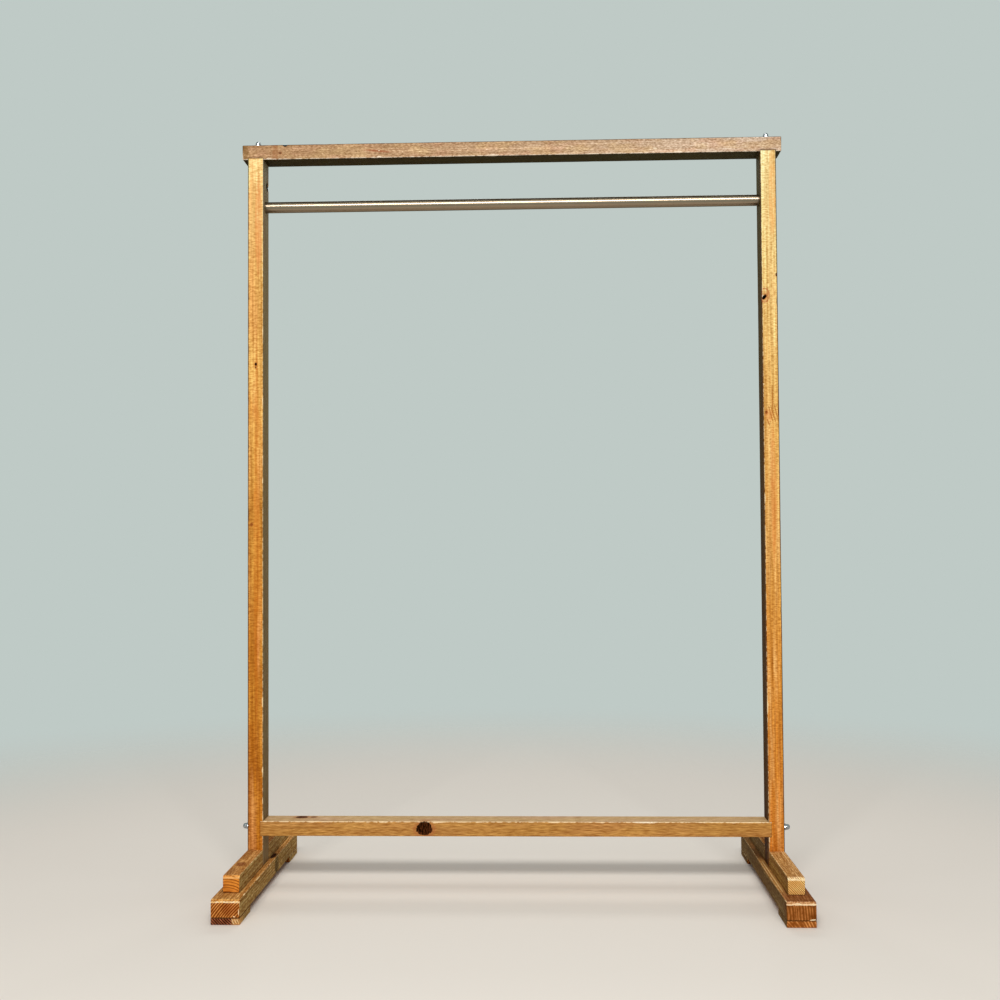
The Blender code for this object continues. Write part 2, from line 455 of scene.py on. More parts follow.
FIBRE = Marks(40.0, 1100.0)
STREAK = Marks(5.0, 190.0)
WANDER = Marks(3.2, 14.0)
RUBBED = Marks(170.0, 230.0)
PORES = Marks(300.0, 1400.0, 2.0)
MARBLED = Marks(420.0, 90.0, 2.0)
MOTTLED = Marks(60.0, 190.0)
DASHES = Marks(110.0, 60.0)
CHIPS = Marks(24.0, 60.0, 4.0)
RINGS_APART, CLOUDS_APART, SPECKS_APART = 7.3, 5.7, 4.1

# Each pair says from where a noise or a measure starts to show, and from where it shows in full.
END_GRAIN = (0.6, 0.85)
RING_DARKENS, RING_STOPS = (0.25, 0.8), (0.88, 1.0)
RINGS_SHOW, CLOUDS_SHOW = (0.25, 0.65), (0.45, 0.68)
LINES_FADE, TONES_RISE = (0.3, 0.6), (0.28, 0.72)
SPECKS_SHOW, PORES_SHOW = (0.68, 0.78), (0.2, 0.3)
RUBBED_SHOW, MARBLE_SHOWS = (0.38, 0.6), (0.45, 0.95)
HALO_ENDS, HEART_ENDS, RING_LINE_ENDS = (1.05, 1.75), (0.92, 1.06), (0.05, 0.15)
EDGE_NEARS, DASHES_SHOW, CHIPS_SHOW = (0.35, 0.85), (0.36, 0.6), (0.56, 0.7)
SHADE_SPREADS = 0.4

SWIRL_ENDS = -0.22
RING_LINE = 1.25
FIBROUS = 0.12
DULLNESS = 0.15
RELIEF = 0.0005
THINNEST = 0.00001
PALE_SPECK = (1.5, 1.7, 2.0, 1.0)


class Wood(Graph):
    """The material of one timber, which reads the timber's own coordinates."""

    def __init__(self, timber: "Timber") -> None:
        """Open the material and lay out its coordinates.

        Args:
            timber: the timber.
        """
        super().__init__(bpy.data.materials.new(timber.node + "_grain"))
        self.timber, self.finish = timber, timber.finish
        coordinates = self.add("ShaderNodeTexCoord", {}).outputs
        self.place, self.looks = coordinates["Object"], coordinates["Normal"]
        self.split = self.parts(self.place)
        self.along = self.split[timber.grain.value]
        self.across = [self.split[axis.value] for axis in Axis if axis is not timber.grain]
        self.seeded = self.vector("ADD", self.joined(self.along, *self.across), (timber.growth.seed,) * 3)

    def material(self) -> bpy.types.Material:
        """Draw the grain, the knots, the wear and the tones of the faces, with their painted shade and light.

        Returns:
            The material.
        """
        finish = self.finish
        reaches = [self._distance(knot) for knot in self.timber.knots]
        late = self._late(self._rings(reaches))
        fibre, streak = self._marks(FIBRE), self._marks(STREAK)
        figure = self._marks(Marks(*finish.figure, 2.0))

        colour = self._face(late, streak)
        for value, amount in ((streak, finish.streaked), (figure, finish.figured), (fibre, FIBROUS)):
            colour = self._shaded(colour, value, amount)
        colour = self._specks(colour)
        end = self.rise(self.math("ABSOLUTE", self.parts(self.looks)[self.timber.grain.value]), *END_GRAIN)
        # The faces' tones paint shade and light on them, with patina and dust.
        colour = self._aged(self.mix(end, colour, self._end(late)))
        colour, hole = self._knots(colour, reaches)
        colour = self._edges(colour, self.math("SUBTRACT", 1.0, hole))

        dull = self.scaled(streak, 2 * DULLNESS, finish.roughness - DULLNESS)
        relief = self.scaled(late, 0.35, self.times(fibre, 0.35))
        relief = self.scaled(hole, -0.6, self.scaled(figure, 0.3, relief))
        return self.surface({"Base Color": colour, "Specular IOR Level": finish.shine,
                             "Roughness": self.math("ADD", dull, self.times(hole, 0.2)),
                             "Normal": self.bump(relief, RELIEF)})

    def _marks(self, marks: Marks, moved: float = 0.0) -> Socket:
        """Add a noise whose marks follow the grain.

        Args:
            marks: the sizes of its marks.
            moved: how far it is moved, in metres, so that it differs from another one.

        Returns:
            Its value, about 0.5 on average.
        """
        place = self.vector("ADD", self.seeded, (moved,) * 3) if moved else self.seeded
        counts = (marks.along, marks.across, marks.across)
        return self.noise(self.vector("MULTIPLY", place, counts), 1.0, marks.detail)

    def _distance(self, knot: Knot) -> Socket:
        """Measure how far a place is from a knot's centre.

        Args:
            knot: the knot.

        Returns:
            The distance in the knot's own radii.
        """
        away = self.vector("SUBTRACT", self.place, Vector(knot.at) - self.timber.centre)
        if knot.tilt:
            turn = {"Vector": away, "Axis": knot.axis, "Angle": -math.radians(knot.tilt)}
            away = self.add("ShaderNodeVectorRotate", turn).outputs[0]
        return self.vector("LENGTH", self.vector("DIVIDE", away, knot.radii))

    def _rings(self, reaches: Sequence[Socket]) -> Socket:
        """Count the rings from the pith, bent round the knots.

        Args:
            reaches: the distance from each knot.

        Returns:
            The number of rings.
        """
        growth = self.timber.growth
        offsets = []
        for number, (place, pith, lean) in enumerate(zip(self.across, growth.pith, growth.lean)):
            wander = self.math("SUBTRACT", self._marks(WANDER, RINGS_APART * number), 0.5)
            offset = self.math("SUBTRACT", place, self.scaled(self.along, lean, pith))
            offsets.append(self.scaled(wander, growth.wander, offset))
        count = self.math("DIVIDE", self.vector("LENGTH", self.joined(*offsets, 0.0)), growth.pitch)
        uneven = self.noise(self.joined(self.times(count, 0.35), growth.seed, 0.0), 1.0, 1.0)
        rings = self.scaled(uneven, growth.varied, count)
        for reach, knot in zip(reaches, self.timber.knots):
            if knot.swirl:
                bell = self.math("EXPONENT", self.times(self.math("POWER", reach, 2.0), SWIRL_ENDS))
                rings = self.scaled(bell, knot.swirl, rings)
        return rings

    def _late(self, rings: Socket) -> Socket:
        """Darken each ring towards its outer edge, where it stops sharply.

        Args:
            rings: the number of rings.

        Returns:
            How much late wood there is, from 0 to 1.
        """
        share = self.math("FRACT", rings)
        return self.times(self.rise(share, *RING_DARKENS), self.fall(share, *RING_STOPS))

    def _face(self, late: Socket, streak: Socket) -> Socket:
        """Colour the rings, the low end and the stains of the long faces.

        Args:
            late: how much late wood there is.
            streak: the noise of the long streaks.

        Returns:
            The colour.
        """
        finish, half = self.finish, self.timber.half[self.timber.grain.value]
        strength = self.times(self.rise(streak, *RINGS_SHOW), finish.contrast)
        colour = self.mix(self.times(late, strength), linear(finish.early), linear(finish.late))
        low = self.rise(self.along, half, -half, "LINEAR")
        tint = self.add("ShaderNodeGamma", {"Color": linear(finish.low_tint), "Gamma": low}).outputs[0]
        colour = self.mix(1.0, colour, tint, "MULTIPLY")
        for number, stain in enumerate(finish.stains):
            cloud = self._marks(Marks(*finish.clouds, 4.0), CLOUDS_APART * number)
            share = self.times(self.rise(cloud, *CLOUDS_SHOW), finish.stained)
            colour = self.mix(share, colour, linear(stain))
        return colour

    def _end(self, late: Socket) -> Socket:
        """Colour the end grain.

        Args:
            late: how much late wood there is.

        Returns:
            The colour.
        """
        finish = self.finish
        blotch = self.noise(self.seeded, 75.0, 3.0)
        kept = self.scaled(self.rise(blotch, *LINES_FADE), finish.end_faded, 1 - finish.end_faded)
        line = self.times(self.math("POWER", late, finish.end_thin), kept)
        colour = self.mix(line, linear(finish.end_early), linear(finish.end_late))
        return self._shaded(self._shaded(colour, self._marks(PORES), 0.2), blotch, 0.3)

    def _shaded(self, colour: Socket, value: Socket, amount: float) -> Socket:
        """Make a colour paler and deeper with a noise.

        Args:
            colour: the colour.
            value: the noise, about 0.5 on average.
            amount: how far the pale and the deep lie apart.

        Returns:
            The colour, deeper in blue than in red where it is dark.
        """
        depths = (0.8 + blueness * self.finish.warmth for blueness in (0.0, 0.35, 0.8))
        deep = tuple(max(0.05, 1 - amount * depth) for depth in depths) + (1.0,)
        pale = tuple(1 + amount * lift for lift in (0.7, 0.9, 1.1)) + (1.0,)
        tone = self.mix(self.rise(value, *TONES_RISE, "LINEAR"), deep, pale)
        return self.mix(1.0, colour, tone, "MULTIPLY")

    def _specks(self, colour: Socket) -> Socket:
        """Strew pale specks and dark pores.

        Args:
            colour: the colour.

        Returns:
            The colour with them.
        """
        along, across = self.finish.specks
        for coarse in (1.0, 0.45):
            specks = self._marks(Marks(along * coarse, across * coarse, 1.0), SPECKS_APART * coarse)
            pale = self.times(self.rise(specks, *SPECKS_SHOW), self.finish.specked)
            dark = self.times(self.fall(specks, *PORES_SHOW), self.finish.specked)
            colour = self.mix(pale, colour, PALE_SPECK, "MULTIPLY")
            colour = self.mix(dark, colour, linear(self.finish.end_late))
        return colour

    def _aged(self, colour: Socket) -> Socket:
        """Lay the tones of the faces that look one way, with the grain kept: painted shade and light, with
        patina and dust.

        Args:
            colour: the colour.

        Returns:
            The colour with those tones.
        """
        for shade in self.finish.shades:
            turned = self.vector("DOT_PRODUCT", self.looks, shade.facing)
            turned = self.rise(turned, shade.reach, shade.reach + SHADE_SPREADS)
            if shade.broken:
                rubbed = self.rise(self._marks(RUBBED), *RUBBED_SHOW)
                turned = self.times(turned, self.scaled(rubbed, shade.broken, 1 - shade.broken))
            tone = tuple(new / old for new, old in zip(linear(shade.colour), linear(self.finish.early)))
            colour = self.mix(self.times(turned, shade.share), colour, tone, "MULTIPLY")
        return colour

    def _knots(self, colour: Socket, reaches: Sequence[Socket]) -> tuple[Socket, Value]:
        """Lay the knots over the grain.

        Args:
            colour: the colour without knots.
            reaches: the distance from each knot.

        Returns:
            The colour, and how deep in a knot a place is, from 0 to 1.
        """
        hole: Value = 0.0
        knots = self.timber.knots
        ragged = self.scaled(self.noise(self.seeded, 240.0, 3.0), 0.4, -0.2)
        marbled = self.times(self._marks(MARBLED), 5.0)
        mottled = self.scaled(self._marks(MOTTLED), 2.2, -0.1)
        rims = [self.scaled(ragged, knot.frayed, reach) for reach, knot in zip(reaches, knots)]
        for rim, knot in zip(rims, knots):
            if not knot.haloed:
                continue
            halo = self.times(self.fall(rim, *HALO_ENDS), self.times(mottled, knot.haloed))
            colour = self.mix(self.math("MINIMUM", halo, 1.0), colour, linear(knot.halo))
            if knot.ringed:
                away = self.math("ABSOLUTE", self.math("SUBTRACT", rim, RING_LINE))
                line = self.times(self.fall(away, *RING_LINE_ENDS), knot.ringed)
                colour = self.mix(line, colour, linear(knot.halo))
        for rim, reach, knot in zip(rims, reaches, knots):
            if not knot.dark:
                continue
            heart = self.times(self.fall(rim, *HEART_ENDS), knot.dark)
            ripple = self.math("PINGPONG", self.scaled(reach, 1.3, marbled), 1.0)
            inner = self.mix(self.rise(ripple, *MARBLE_SHOWS), *(linear(tone) for tone in knot.heart))
            colour = self.mix(heart, colour, inner)
            hole = self.math("MAXIMUM", hole, heart)
        return colour, hole

    def _edges(self, colour: Socket, whole: Socket) -> Socket:
        """Darken the edges with grime, and rub them pale.

        Args:
            colour: the colour.
            whole: where there is no knot, from 0 to 1.

        Returns:
            The colour with its edges.
        """
        finish, half = self.finish, self.timber.half.copy()
        if self.timber.square:
            half[self.timber.grain.value] *= 2
        depths = [self.math("SUBTRACT", size, self.math("ABSOLUTE", value))
                  for size, value in zip(half, self.split)]
        lower = self.math("MINIMUM", depths[0], depths[1])
        upper = self.math("MAXIMUM", depths[0], depths[1])
        depth = self.math("MAXIMUM", lower, self.math("MINIMUM", upper, depths[2]))
        dashes = self.rise(self._marks(DASHES), *DASHES_SHOW)
        chips = self.rise(self._marks(CHIPS), *CHIPS_SHOW)
        for way, width, kept, ragged, tone in (
                (finish.grimed, finish.grime, 0.0, 0.25, GRIME),
                (finish.worn, finish.wear, finish.kept, 1.0, finish.arris)):
            if not width:
                continue
            toward: Value = 0.0
            for value, size, step in zip(self.split, half, way):
                toward = self.scaled(value, step / size, toward)
            most = self.scaled(self.rise(toward, *EDGE_NEARS), 1 - kept, kept)
            rubbed = self.scaled(dashes, 0.4 * ragged, 0.62 - 0.4 * ragged)
            rubbed = self.scaled(chips, 0.9 * ragged, rubbed)
            reach = self.math("MAXIMUM", self.times(self.times(rubbed, most), width), THINNEST)
            marked = self.times(self.fall(depth, self.times(reach, 0.35), reach), 0.9)
            colour = self.mix(self.times(marked, whole), colour, linear(tone))
        return colour


@dataclass(frozen=True)
class SteelFinish:
    """Bright or plated steel.

    Attributes:
        slot: the record's material slot.
        colour: what it reflects.
        roughness: how dull it is.
        rim: what it reflects at a glance, as a share of the colour.
        brushed: how far fine marks change its dullness.
        lines: how many such marks it has in a metre.
        relief: how deep they are, in metres.
        smears: how many faint smears it has in a metre.
    """

    # slot: a material slot's name; not used.
    slot: str
    colour: Rgb
    roughness: float
    rim: Triple = (0.5, 0.5, 0.5)
    brushed: float = 0.0
    lines: float = 300.0
    relief: float = 0.00002
    smears: float = 45.0

    def material(self, name: str) -> bpy.types.Material:
        """Make the material.

        Args:
            name: its name.

        Returns:
            The material.
        """
        graph = Graph(bpy.data.materials.new(name))
        place = graph.add("ShaderNodeTexCoord", {}).outputs["Object"]
        tone = graph.scaled(graph.noise(place, self.smears, 3.0), 0.16, 0.92)
        colour = graph.mix(1.0, linear(self.colour), graph.joined(tone, tone, tone), "MULTIPLY")
        inputs = {"Base Color": colour, "Metallic": 1.0, "Specular Tint": (*self.rim, 1.0),
                  "Roughness": self.roughness}
        if self.brushed:
            brush = graph.noise(place, self.lines, 3.0)
            inputs["Roughness"] = graph.scaled(brush, 2 * self.brushed, self.roughness - self.brushed)
            inputs["Normal"] = graph.bump(brush, self.relief)
        return graph.surface(inputs)

    def dress(self, piece: bpy.types.Object, material: str, node: str) -> None:
        """Give a piece this finish and make it stand for its solid.

        Args:
            piece: the piece.
            material: the name of its material.
            node: the frame's node that it stands for.
        """
        piece.data.materials.append(self.material(material))
        settle(piece, node)


GRIME = (70, 42, 22)
UP = (0.0, 0.0, 1.0)
HONEY = TimberFinish(
    slot="post_timber", early=(255, 222, 158), late=(232, 170, 94), stains=((244, 178, 112),),
    arris=(255, 228, 176), end_early=(196, 140, 74), end_late=(126, 76, 32), contrast=0.6,
    clouds=(4.0, 60.0), specks=(260.0, 300.0), figure=(380.0, 120.0), figured=0.38, streaked=0.45,
    stained=0.45, specked=0.16, low_tint=(184, 130, 58), roughness=0.55, wear=0.0024, worn=(0.5, -0.5, 0.0),
    grime=0.0056, grimed=(-0.5, -0.5, 0.0),
    # The inner side's dark tone is painted shade with patina; the outer side's is a lighter painted shade.
    shades=(Shade((1.0, 0.0, 0.0), (158, 154, 134), 0.95), Shade((-1.0, 0.0, 0.0), (206, 150, 88), 0.6)))
PALE_HONEY = replace(
    HONEY, early=(255, 244, 190), late=(250, 208, 134), stains=((254, 212, 146),),
    figure=(400.0, 130.0), low_tint=(202, 130, 62), worn=(-0.5, -0.5, 0.0), grimed=(0.5, -0.5, 0.0),
    # The inner side's dark tone is painted shade with patina; the outer side's is a lighter painted shade.
    shades=(Shade((-1.0, 0.0, 0.0), (84, 78, 42), 0.97), Shade((1.0, 0.0, 0.0), (206, 150, 88), 0.6)))
TAN = TimberFinish(
    slot="stretcher_timber", early=(192, 140, 74), late=(166, 112, 48),
    stains=((180, 126, 76), (194, 136, 80)), arris=(255, 226, 180), end_early=(180, 128, 70),
    end_late=(120, 74, 34), contrast=0.4, specks=(140.0, 500.0), figure=(56.0, 560.0), figured=0.45,
    streaked=0.2, stained=0.35, specked=0.42, warmth=0.8, roughness=0.55, wear=0.0040, kept=0.2,
    # The top's paler, greyer tone is painted sheen with dust.
    shades=(Shade(UP, (204, 174, 128), 0.85),))
WEATHERED = TimberFinish(
    slot="rail_timber", early=(226, 200, 176), late=(180, 138, 106),
    stains=((198, 150, 116), (204, 166, 118)), arris=(255, 236, 210), end_early=(186, 146, 112),
    end_late=(104, 68, 44), contrast=0.7, clouds=(20.0, 50.0), specks=(230.0, 340.0), figure=(180.0, 360.0),
    figured=0.5, streaked=0.35, stained=0.6, specked=0.65, warmth=0.4, low_tint=(206, 180, 146),
    roughness=0.6, wear=0.0040, worn=(0.0, -0.5, -0.5), kept=0.0, grime=0.0040, grimed=(0.0, -0.5, 0.5),
    # The underside's dark tone is painted shade with dirt.
    shades=(Shade((0.0, 0.0, -1.0), (76, 70, 42), 1.0, 0.5),))
BROWN = TimberFinish(
    slot="foot_timber", early=(176, 120, 54), late=(126, 74, 24), stains=((138, 86, 36),),
    arris=(255, 224, 168), end_early=(124, 60, 12), end_late=(222, 148, 76), end_thin=1.9, contrast=0.8,
    specks=(120.0, 300.0), figure=(60.0, 340.0), figured=0.55, streaked=0.55, stained=0.5, specked=0.4,
    roughness=0.6, wear=0.0018, kept=0.1, grime=0.0024)
STREAKED = replace(BROWN, end_early=(130, 74, 26), end_late=(190, 120, 62), end_thin=2.4, end_faded=0.85)
# Painted shade, with patina, on the inner sides of the feet.
INWARD = {Side.LEFT: (184, 158, 102), Side.RIGHT: (120, 102, 68)}
# The steel's colour is darkened and warmed: a painted reflection of warm, dim surroundings.
STAINLESS = SteelFinish("stainless_steel", (150, 133, 112), roughness=0.28, rim=(0.12, 0.1, 0.09))
CHROMED = SteelFinish("chromed_steel", (166, 169, 172), roughness=0.16, rim=(0.3, 0.3, 0.3))
ZINC = SteelFinish("zinc_plated_steel", (176, 178, 174), roughness=0.38, brushed=0.1)


def settle(piece: bpy.types.Object, node: str) -> None:
    """Make a finished piece ride on the rack and stand for its solid.

    Args:
        piece: the piece.
        node: the frame's node that it stands for.
    """
    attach(piece, BODY)
    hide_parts(node)
    LOG.info("%s: %d faces", piece.name, len(piece.data.polygons))


def smooth(mesh: bpy.types.Mesh, crease: float = 35.0) -> None:
    """Shade a mesh smooth, with its edges kept.

    Args:
        mesh: the mesh.
        crease: the angle in degrees from which an edge stays sharp.
    """
    mesh.shade_smooth()
    mesh.set_sharp_from_angle(angle=math.radians(crease))


@dataclass
class Carving:
    """A shape to take out of timber, gathered from boxes and turned forms.

    Attributes:
        name: what it is for.
        shape: its mesh.
        speck: the length under which an edge of a carved board is closed up.
    """

    name: str
    shape: bmesh.types.BMesh = field(default_factory=bmesh.new)
    speck: float = 1e-6

    def box(self, low: Sequence[float], high: Sequence[float]) -> None:
        """Add a box between two corners.

        Args:
            low: its low corner.
            high: its high corner.
        """
        low, high = Vector(low), Vector(high)
        place = Matrix.LocRotScale((low + high) / 2, None, high - low)
        bmesh.ops.create_cube(self.shape, size=1.0, matrix=place)

    def bore(self, place: Matrix, reach: float, radius: float, sides: int = 32) -> None:
        """Add a round hole, as long on both sides of its place.

        Args:
            place: its middle, with Z along it.
            reach: half its length.
            radius: its radius.
            sides: how many facets it has.
        """
        spin(self.shape, [(0, -reach), (radius, -reach), (radius, reach), (0, reach)], sides, place)

    def apply(self, pieces: Iterable[bpy.types.Object]) -> None:
        """Take the shape out of some pieces.

        Args:
            pieces: the pieces, whose meshes are changed.
        """
        mesh = bpy.data.meshes.new(self.name)
        self.shape.to_mesh(mesh)
        self.shape.free()
        cutter = bpy.data.objects.new(self.name, mesh)
        bpy.context.scene.collection.objects.link(cutter)
        for piece in pieces:
            modifier = piece.modifiers.new(self.name, "BOOLEAN")
            modifier.operation = "DIFFERENCE"
            modifier.solver = "EXACT"
            modifier.object = cutter
            bpy.context.view_layer.update()
            cut = bpy.data.meshes.new_from_object(piece.evaluated_get(bpy.context.evaluated_depsgraph_get()))
            cleaned = bmesh.new()
            cleaned.from_mesh(cut)
            bmesh.ops.dissolve_degenerate(cleaned, dist=self.speck, edges=cleaned.edges)
            cleaned.to_mesh(cut)
            cleaned.free()
            piece.modifiers.clear()
            old, piece.data = piece.data, cut
            bpy.data.meshes.remove(old)
        bpy.data.objects.remove(cutter)


def spin(shape: bmesh.types.BMesh, profile: Sequence[tuple[float, ...]], sides: int, place: Matrix,
         closed: bool = False) -> None:
    """Carry a profile round the place's Z axis.

    Args:
        shape: the mesh that it is added to.
        profile: radii and heights, up the outer side. A third value of 6 makes that ring a hexagon.
        sides: how many facets it has.
        place: where it stands.
        closed: whether the profile's end joins its start, as on a tube.
    """
    rings = []
    for radius, height, *corners in profile:
        if radius == 0:
            rings.append([shape.verts.new(place @ Vector((0, 0, height)))] * sides)
            continue
        ring = []
        for step in range(sides):
            angle = math.tau * step / sides
            reach = radius
            if corners:
                flat = math.tau / corners[0]
                reach = radius / math.cos(angle % flat - flat / 2)
            around = Vector((reach * math.cos(angle), reach * math.sin(angle), height))
            ring.append(shape.verts.new(place @ around))
        rings.append(ring)
    pairs = list(zip(rings, rings[1:]))
    if closed:
        pairs.append((rings[-1], rings[0]))
    for lower, upper in pairs:
        for step in range(sides):
            after = (step + 1) % sides
            ring_corners = [lower[step], lower[after], upper[after], upper[step]]
            shape.faces.new(list(dict.fromkeys(ring_corners)))


def facing(point: Sequence[float], direction: Sequence[float]) -> Matrix:
    """Place at a point, with its Z axis in the given direction."""
    return Matrix.Translation(point) @ Vector(direction).to_track_quat("Z", "Y").to_matrix().to_4x4()


# Where a timber's mesh has lines near its edges, as shares of an arris and of a chamfer.
EDGE_LINES = (0, 0.35, 0.75, 1.2, 1.8)
CHAMFER_LINES = (0.8, 1.0, 1.2)
CROSS_FINER = 1.6

# A sunk knot: how far its close lines reach, how many they are at most, and where its wall starts and ends.
PIT_REACH = 1.3
PIT_LINES = 24
PIT_RIM, PIT_WALL = 1.1, 0.35

# How many waves a metre of wear has: slow and quick ones along an edge, on a face, and round and in a pit.
SLOW_WAVES, QUICK_WAVES, FACE_WAVES, RIM_WAVES, PIT_WAVES = 9, 60, 11, 400, 500
NICKED = 0.45


@dataclass
class Timber:
    """A board with worn arrises, in the box of one of the frame's nodes.

    Attributes:
        node: the frame's node.
        grain: the axis that its grain runs along.
        finish: its colours and wear.
        growth: how it lay in its tree.
        chamfered: the ends whose top edge has a wide chamfer.
        knots: its knots.
        arris: the radius of its worn edges.
        square: whether its ends keep sharp edges, as where they fill a housing.
        chamfer: the width of the chamfer on each face.
        pitch: the length of its mesh's faces along the grain.
        fine: the same length where a knot is sunk.
        hollow: how far its faces sink between their edges.
    """

    node: str
    grain: Axis
    finish: TimberFinish
    growth: Growth
    chamfered: tuple[End, ...] = ()
    knots: tuple[Knot, ...] = ()
    arris: float = 0.0016
    square: bool = False
    chamfer: float = 0.005
    pitch: float = 0.009
    fine: float = 0.0012
    hollow: float = 0.0002

    def __post_init__(self) -> None:
        """Take the board's place and size from the frame."""
        low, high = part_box(self.node)
        self.centre = (low + high) / 2
        self.half = (high - low) / 2

    def _ticks(self, axis: Axis) -> list[float]:
        """Work out the places of the mesh's lines along one axis.

        Args:
            axis: the axis.

        Returns:
            The places, close together at both edges and where a knot is sunk.
        """
        half = self.half[axis.value]
        near = [self.arris * share for share in EDGE_LINES]
        if axis is not Axis.X and self.chamfered:
            near += [self.chamfer * share for share in CHAMFER_LINES]
        inset = max(near)
        pitch = self.pitch if axis is self.grain else self.pitch / CROSS_FINER
        steps = max(2, math.ceil((half - inset) * 2 / pitch))
        inner = [inset - half + (half - inset) * 2 * step / steps for step in range(1, steps)]
        for knot in self.knots:
            if not knot.sink or axis is knot.face:
                continue
            middle = knot.at[axis.value] - self.centre[axis.value]
            reach = PIT_REACH * max(size for size, other in zip(knot.radii, Axis) if other is not knot.face)
            count = min(PIT_LINES, math.ceil(2 * reach / self.fine))
            dense = [middle - reach + 2 * reach * step / count for step in range(count + 1)]
            inner = [tick for tick in inner if abs(tick - middle) > reach + self.fine]
            inner += [tick for tick in dense if abs(tick) < half - inset - self.fine / 3]
        return sorted([depth - half for depth in near] + inner + [half - depth for depth in near])

    def _radius(self, point: Vector) -> float:
        """Work out how round the nearest long edge is.

        Args:
            point: a point on the plain box.

        Returns:
            The radius, which changes along each edge as wear does.
        """
        first, second = (axis.value for axis in Axis if axis is not self.grain)
        along = point[self.grain.value]
        shares = [0.5 + 0.5 * max(-1.0, min(1.0, point[i] / self.half[i])) for i in (first, second)]
        total = 0.0
        for corner in range(4):
            weights = [share if corner >> bit & 1 else 1 - share for bit, share in enumerate(shares)]
            slow = noise.noise(Vector((along * SLOW_WAVES, corner * 5.1, self.growth.seed)))
            quick = noise.noise(Vector((along * QUICK_WAVES, corner * 3.7, self.growth.seed + 9)))
            nick = max(0.0, quick - NICKED) * 2
            total += weights[0] * weights[1] * self.arris * (1 + 0.35 * slow + nick)
        return total

    def _worn(self, point: Vector) -> Vector:
        """Move a point of the plain box to the worn board.

        Args:
            point: the point, from the board's centre.

        Returns:
            The moved point, never outside the box.
        """
        radius = self._radius(point)
        core = Vector(max(radius - h, min(h - radius, p)) for p, h in zip(point, self.half))
        if self.square:
            core[self.grain.value] = point[self.grain.value]
        outward = point - core
        moved = core + outward.normalized() * radius if outward.length > 0 else point.copy()
        for end in self.chamfered:
            past = end.value * moved.y + moved.z - (self.half.y + self.half.z - self.chamfer)
            eased = (past + math.hypot(past, 0.1 * self.chamfer)) / 2
            moved -= Vector((0, end.value, 1)) * eased / 2
        seed = Vector((self.growth.seed, 0, 0))
        sunk = self.hollow * (1 + noise.noise(point * FACE_WAVES + seed)) / 2
        for knot in self.knots:
            if knot.sink:
                rim = knot.distance(point + self.centre) + 0.2 * noise.noise(point * RIM_WAVES)
                share = max(0.0, min(1.0, (PIT_RIM - rim) / PIT_WALL))
                rough = 1 + 0.5 * noise.noise(point * PIT_WAVES)
                sunk += knot.sink * rough * share * share * (3 - 2 * share)
        return moved - outward.normalized() * sunk if outward.length > 0 else moved

    def build(self) -> bpy.types.Object:
        """Build and dress the board.

        Returns:
            The board, in place.
        """
        lines = [self._ticks(axis) for axis in Axis]
        counts = [len(line) for line in lines]
        index: dict[tuple[int, int, int], int] = {}
        points: list[Vector] = []
        faces: list[list[int]] = []

        def corner(key: tuple[int, int, int]) -> int:
            """Find or make the point at a crossing of three lines.

            Args:
                key: the number of each line.

            Returns:
                The point's number.
            """
            if key not in index:
                index[key] = len(points)
                points.append(self._worn(Vector(line[i] for line, i in zip(lines, key))))
            return index[key]

        for axis in range(3):
            first, second = (axis + 1) % 3, (axis + 2) % 3
            for level in (0, counts[axis] - 1):
                for i in range(counts[first] - 1):
                    for j in range(counts[second] - 1):
                        face = []
                        for di, dj in ((0, 0), (1, 0), (1, 1), (0, 1)):
                            key = [0, 0, 0]
                            key[axis], key[first], key[second] = level, i + di, j + dj
                            face.append(corner(tuple(key)))
                        faces.append(face if level else face[::-1])
        mesh = bpy.data.meshes.new(self.node + "_board")
        mesh.from_pydata(points, [], faces)
        smooth(mesh)
        mesh.materials.append(Wood(self).material())
        board = bpy.data.objects.new(mesh.name, mesh)
        board.location = self.centre
        bpy.context.scene.collection.objects.link(board)
        return board

    def settle(self, board: bpy.types.Object) -> None:
        """Make the board ride on the rack."""
        settle(board, self.node)


BLACK = ((3, 2, 1), (10, 6, 3))
PALE = ((240, 214, 176), (255, 240, 214))
UMBER = ((26, 8, 0), (86, 44, 20))
RUDDY = (172, 100, 56)


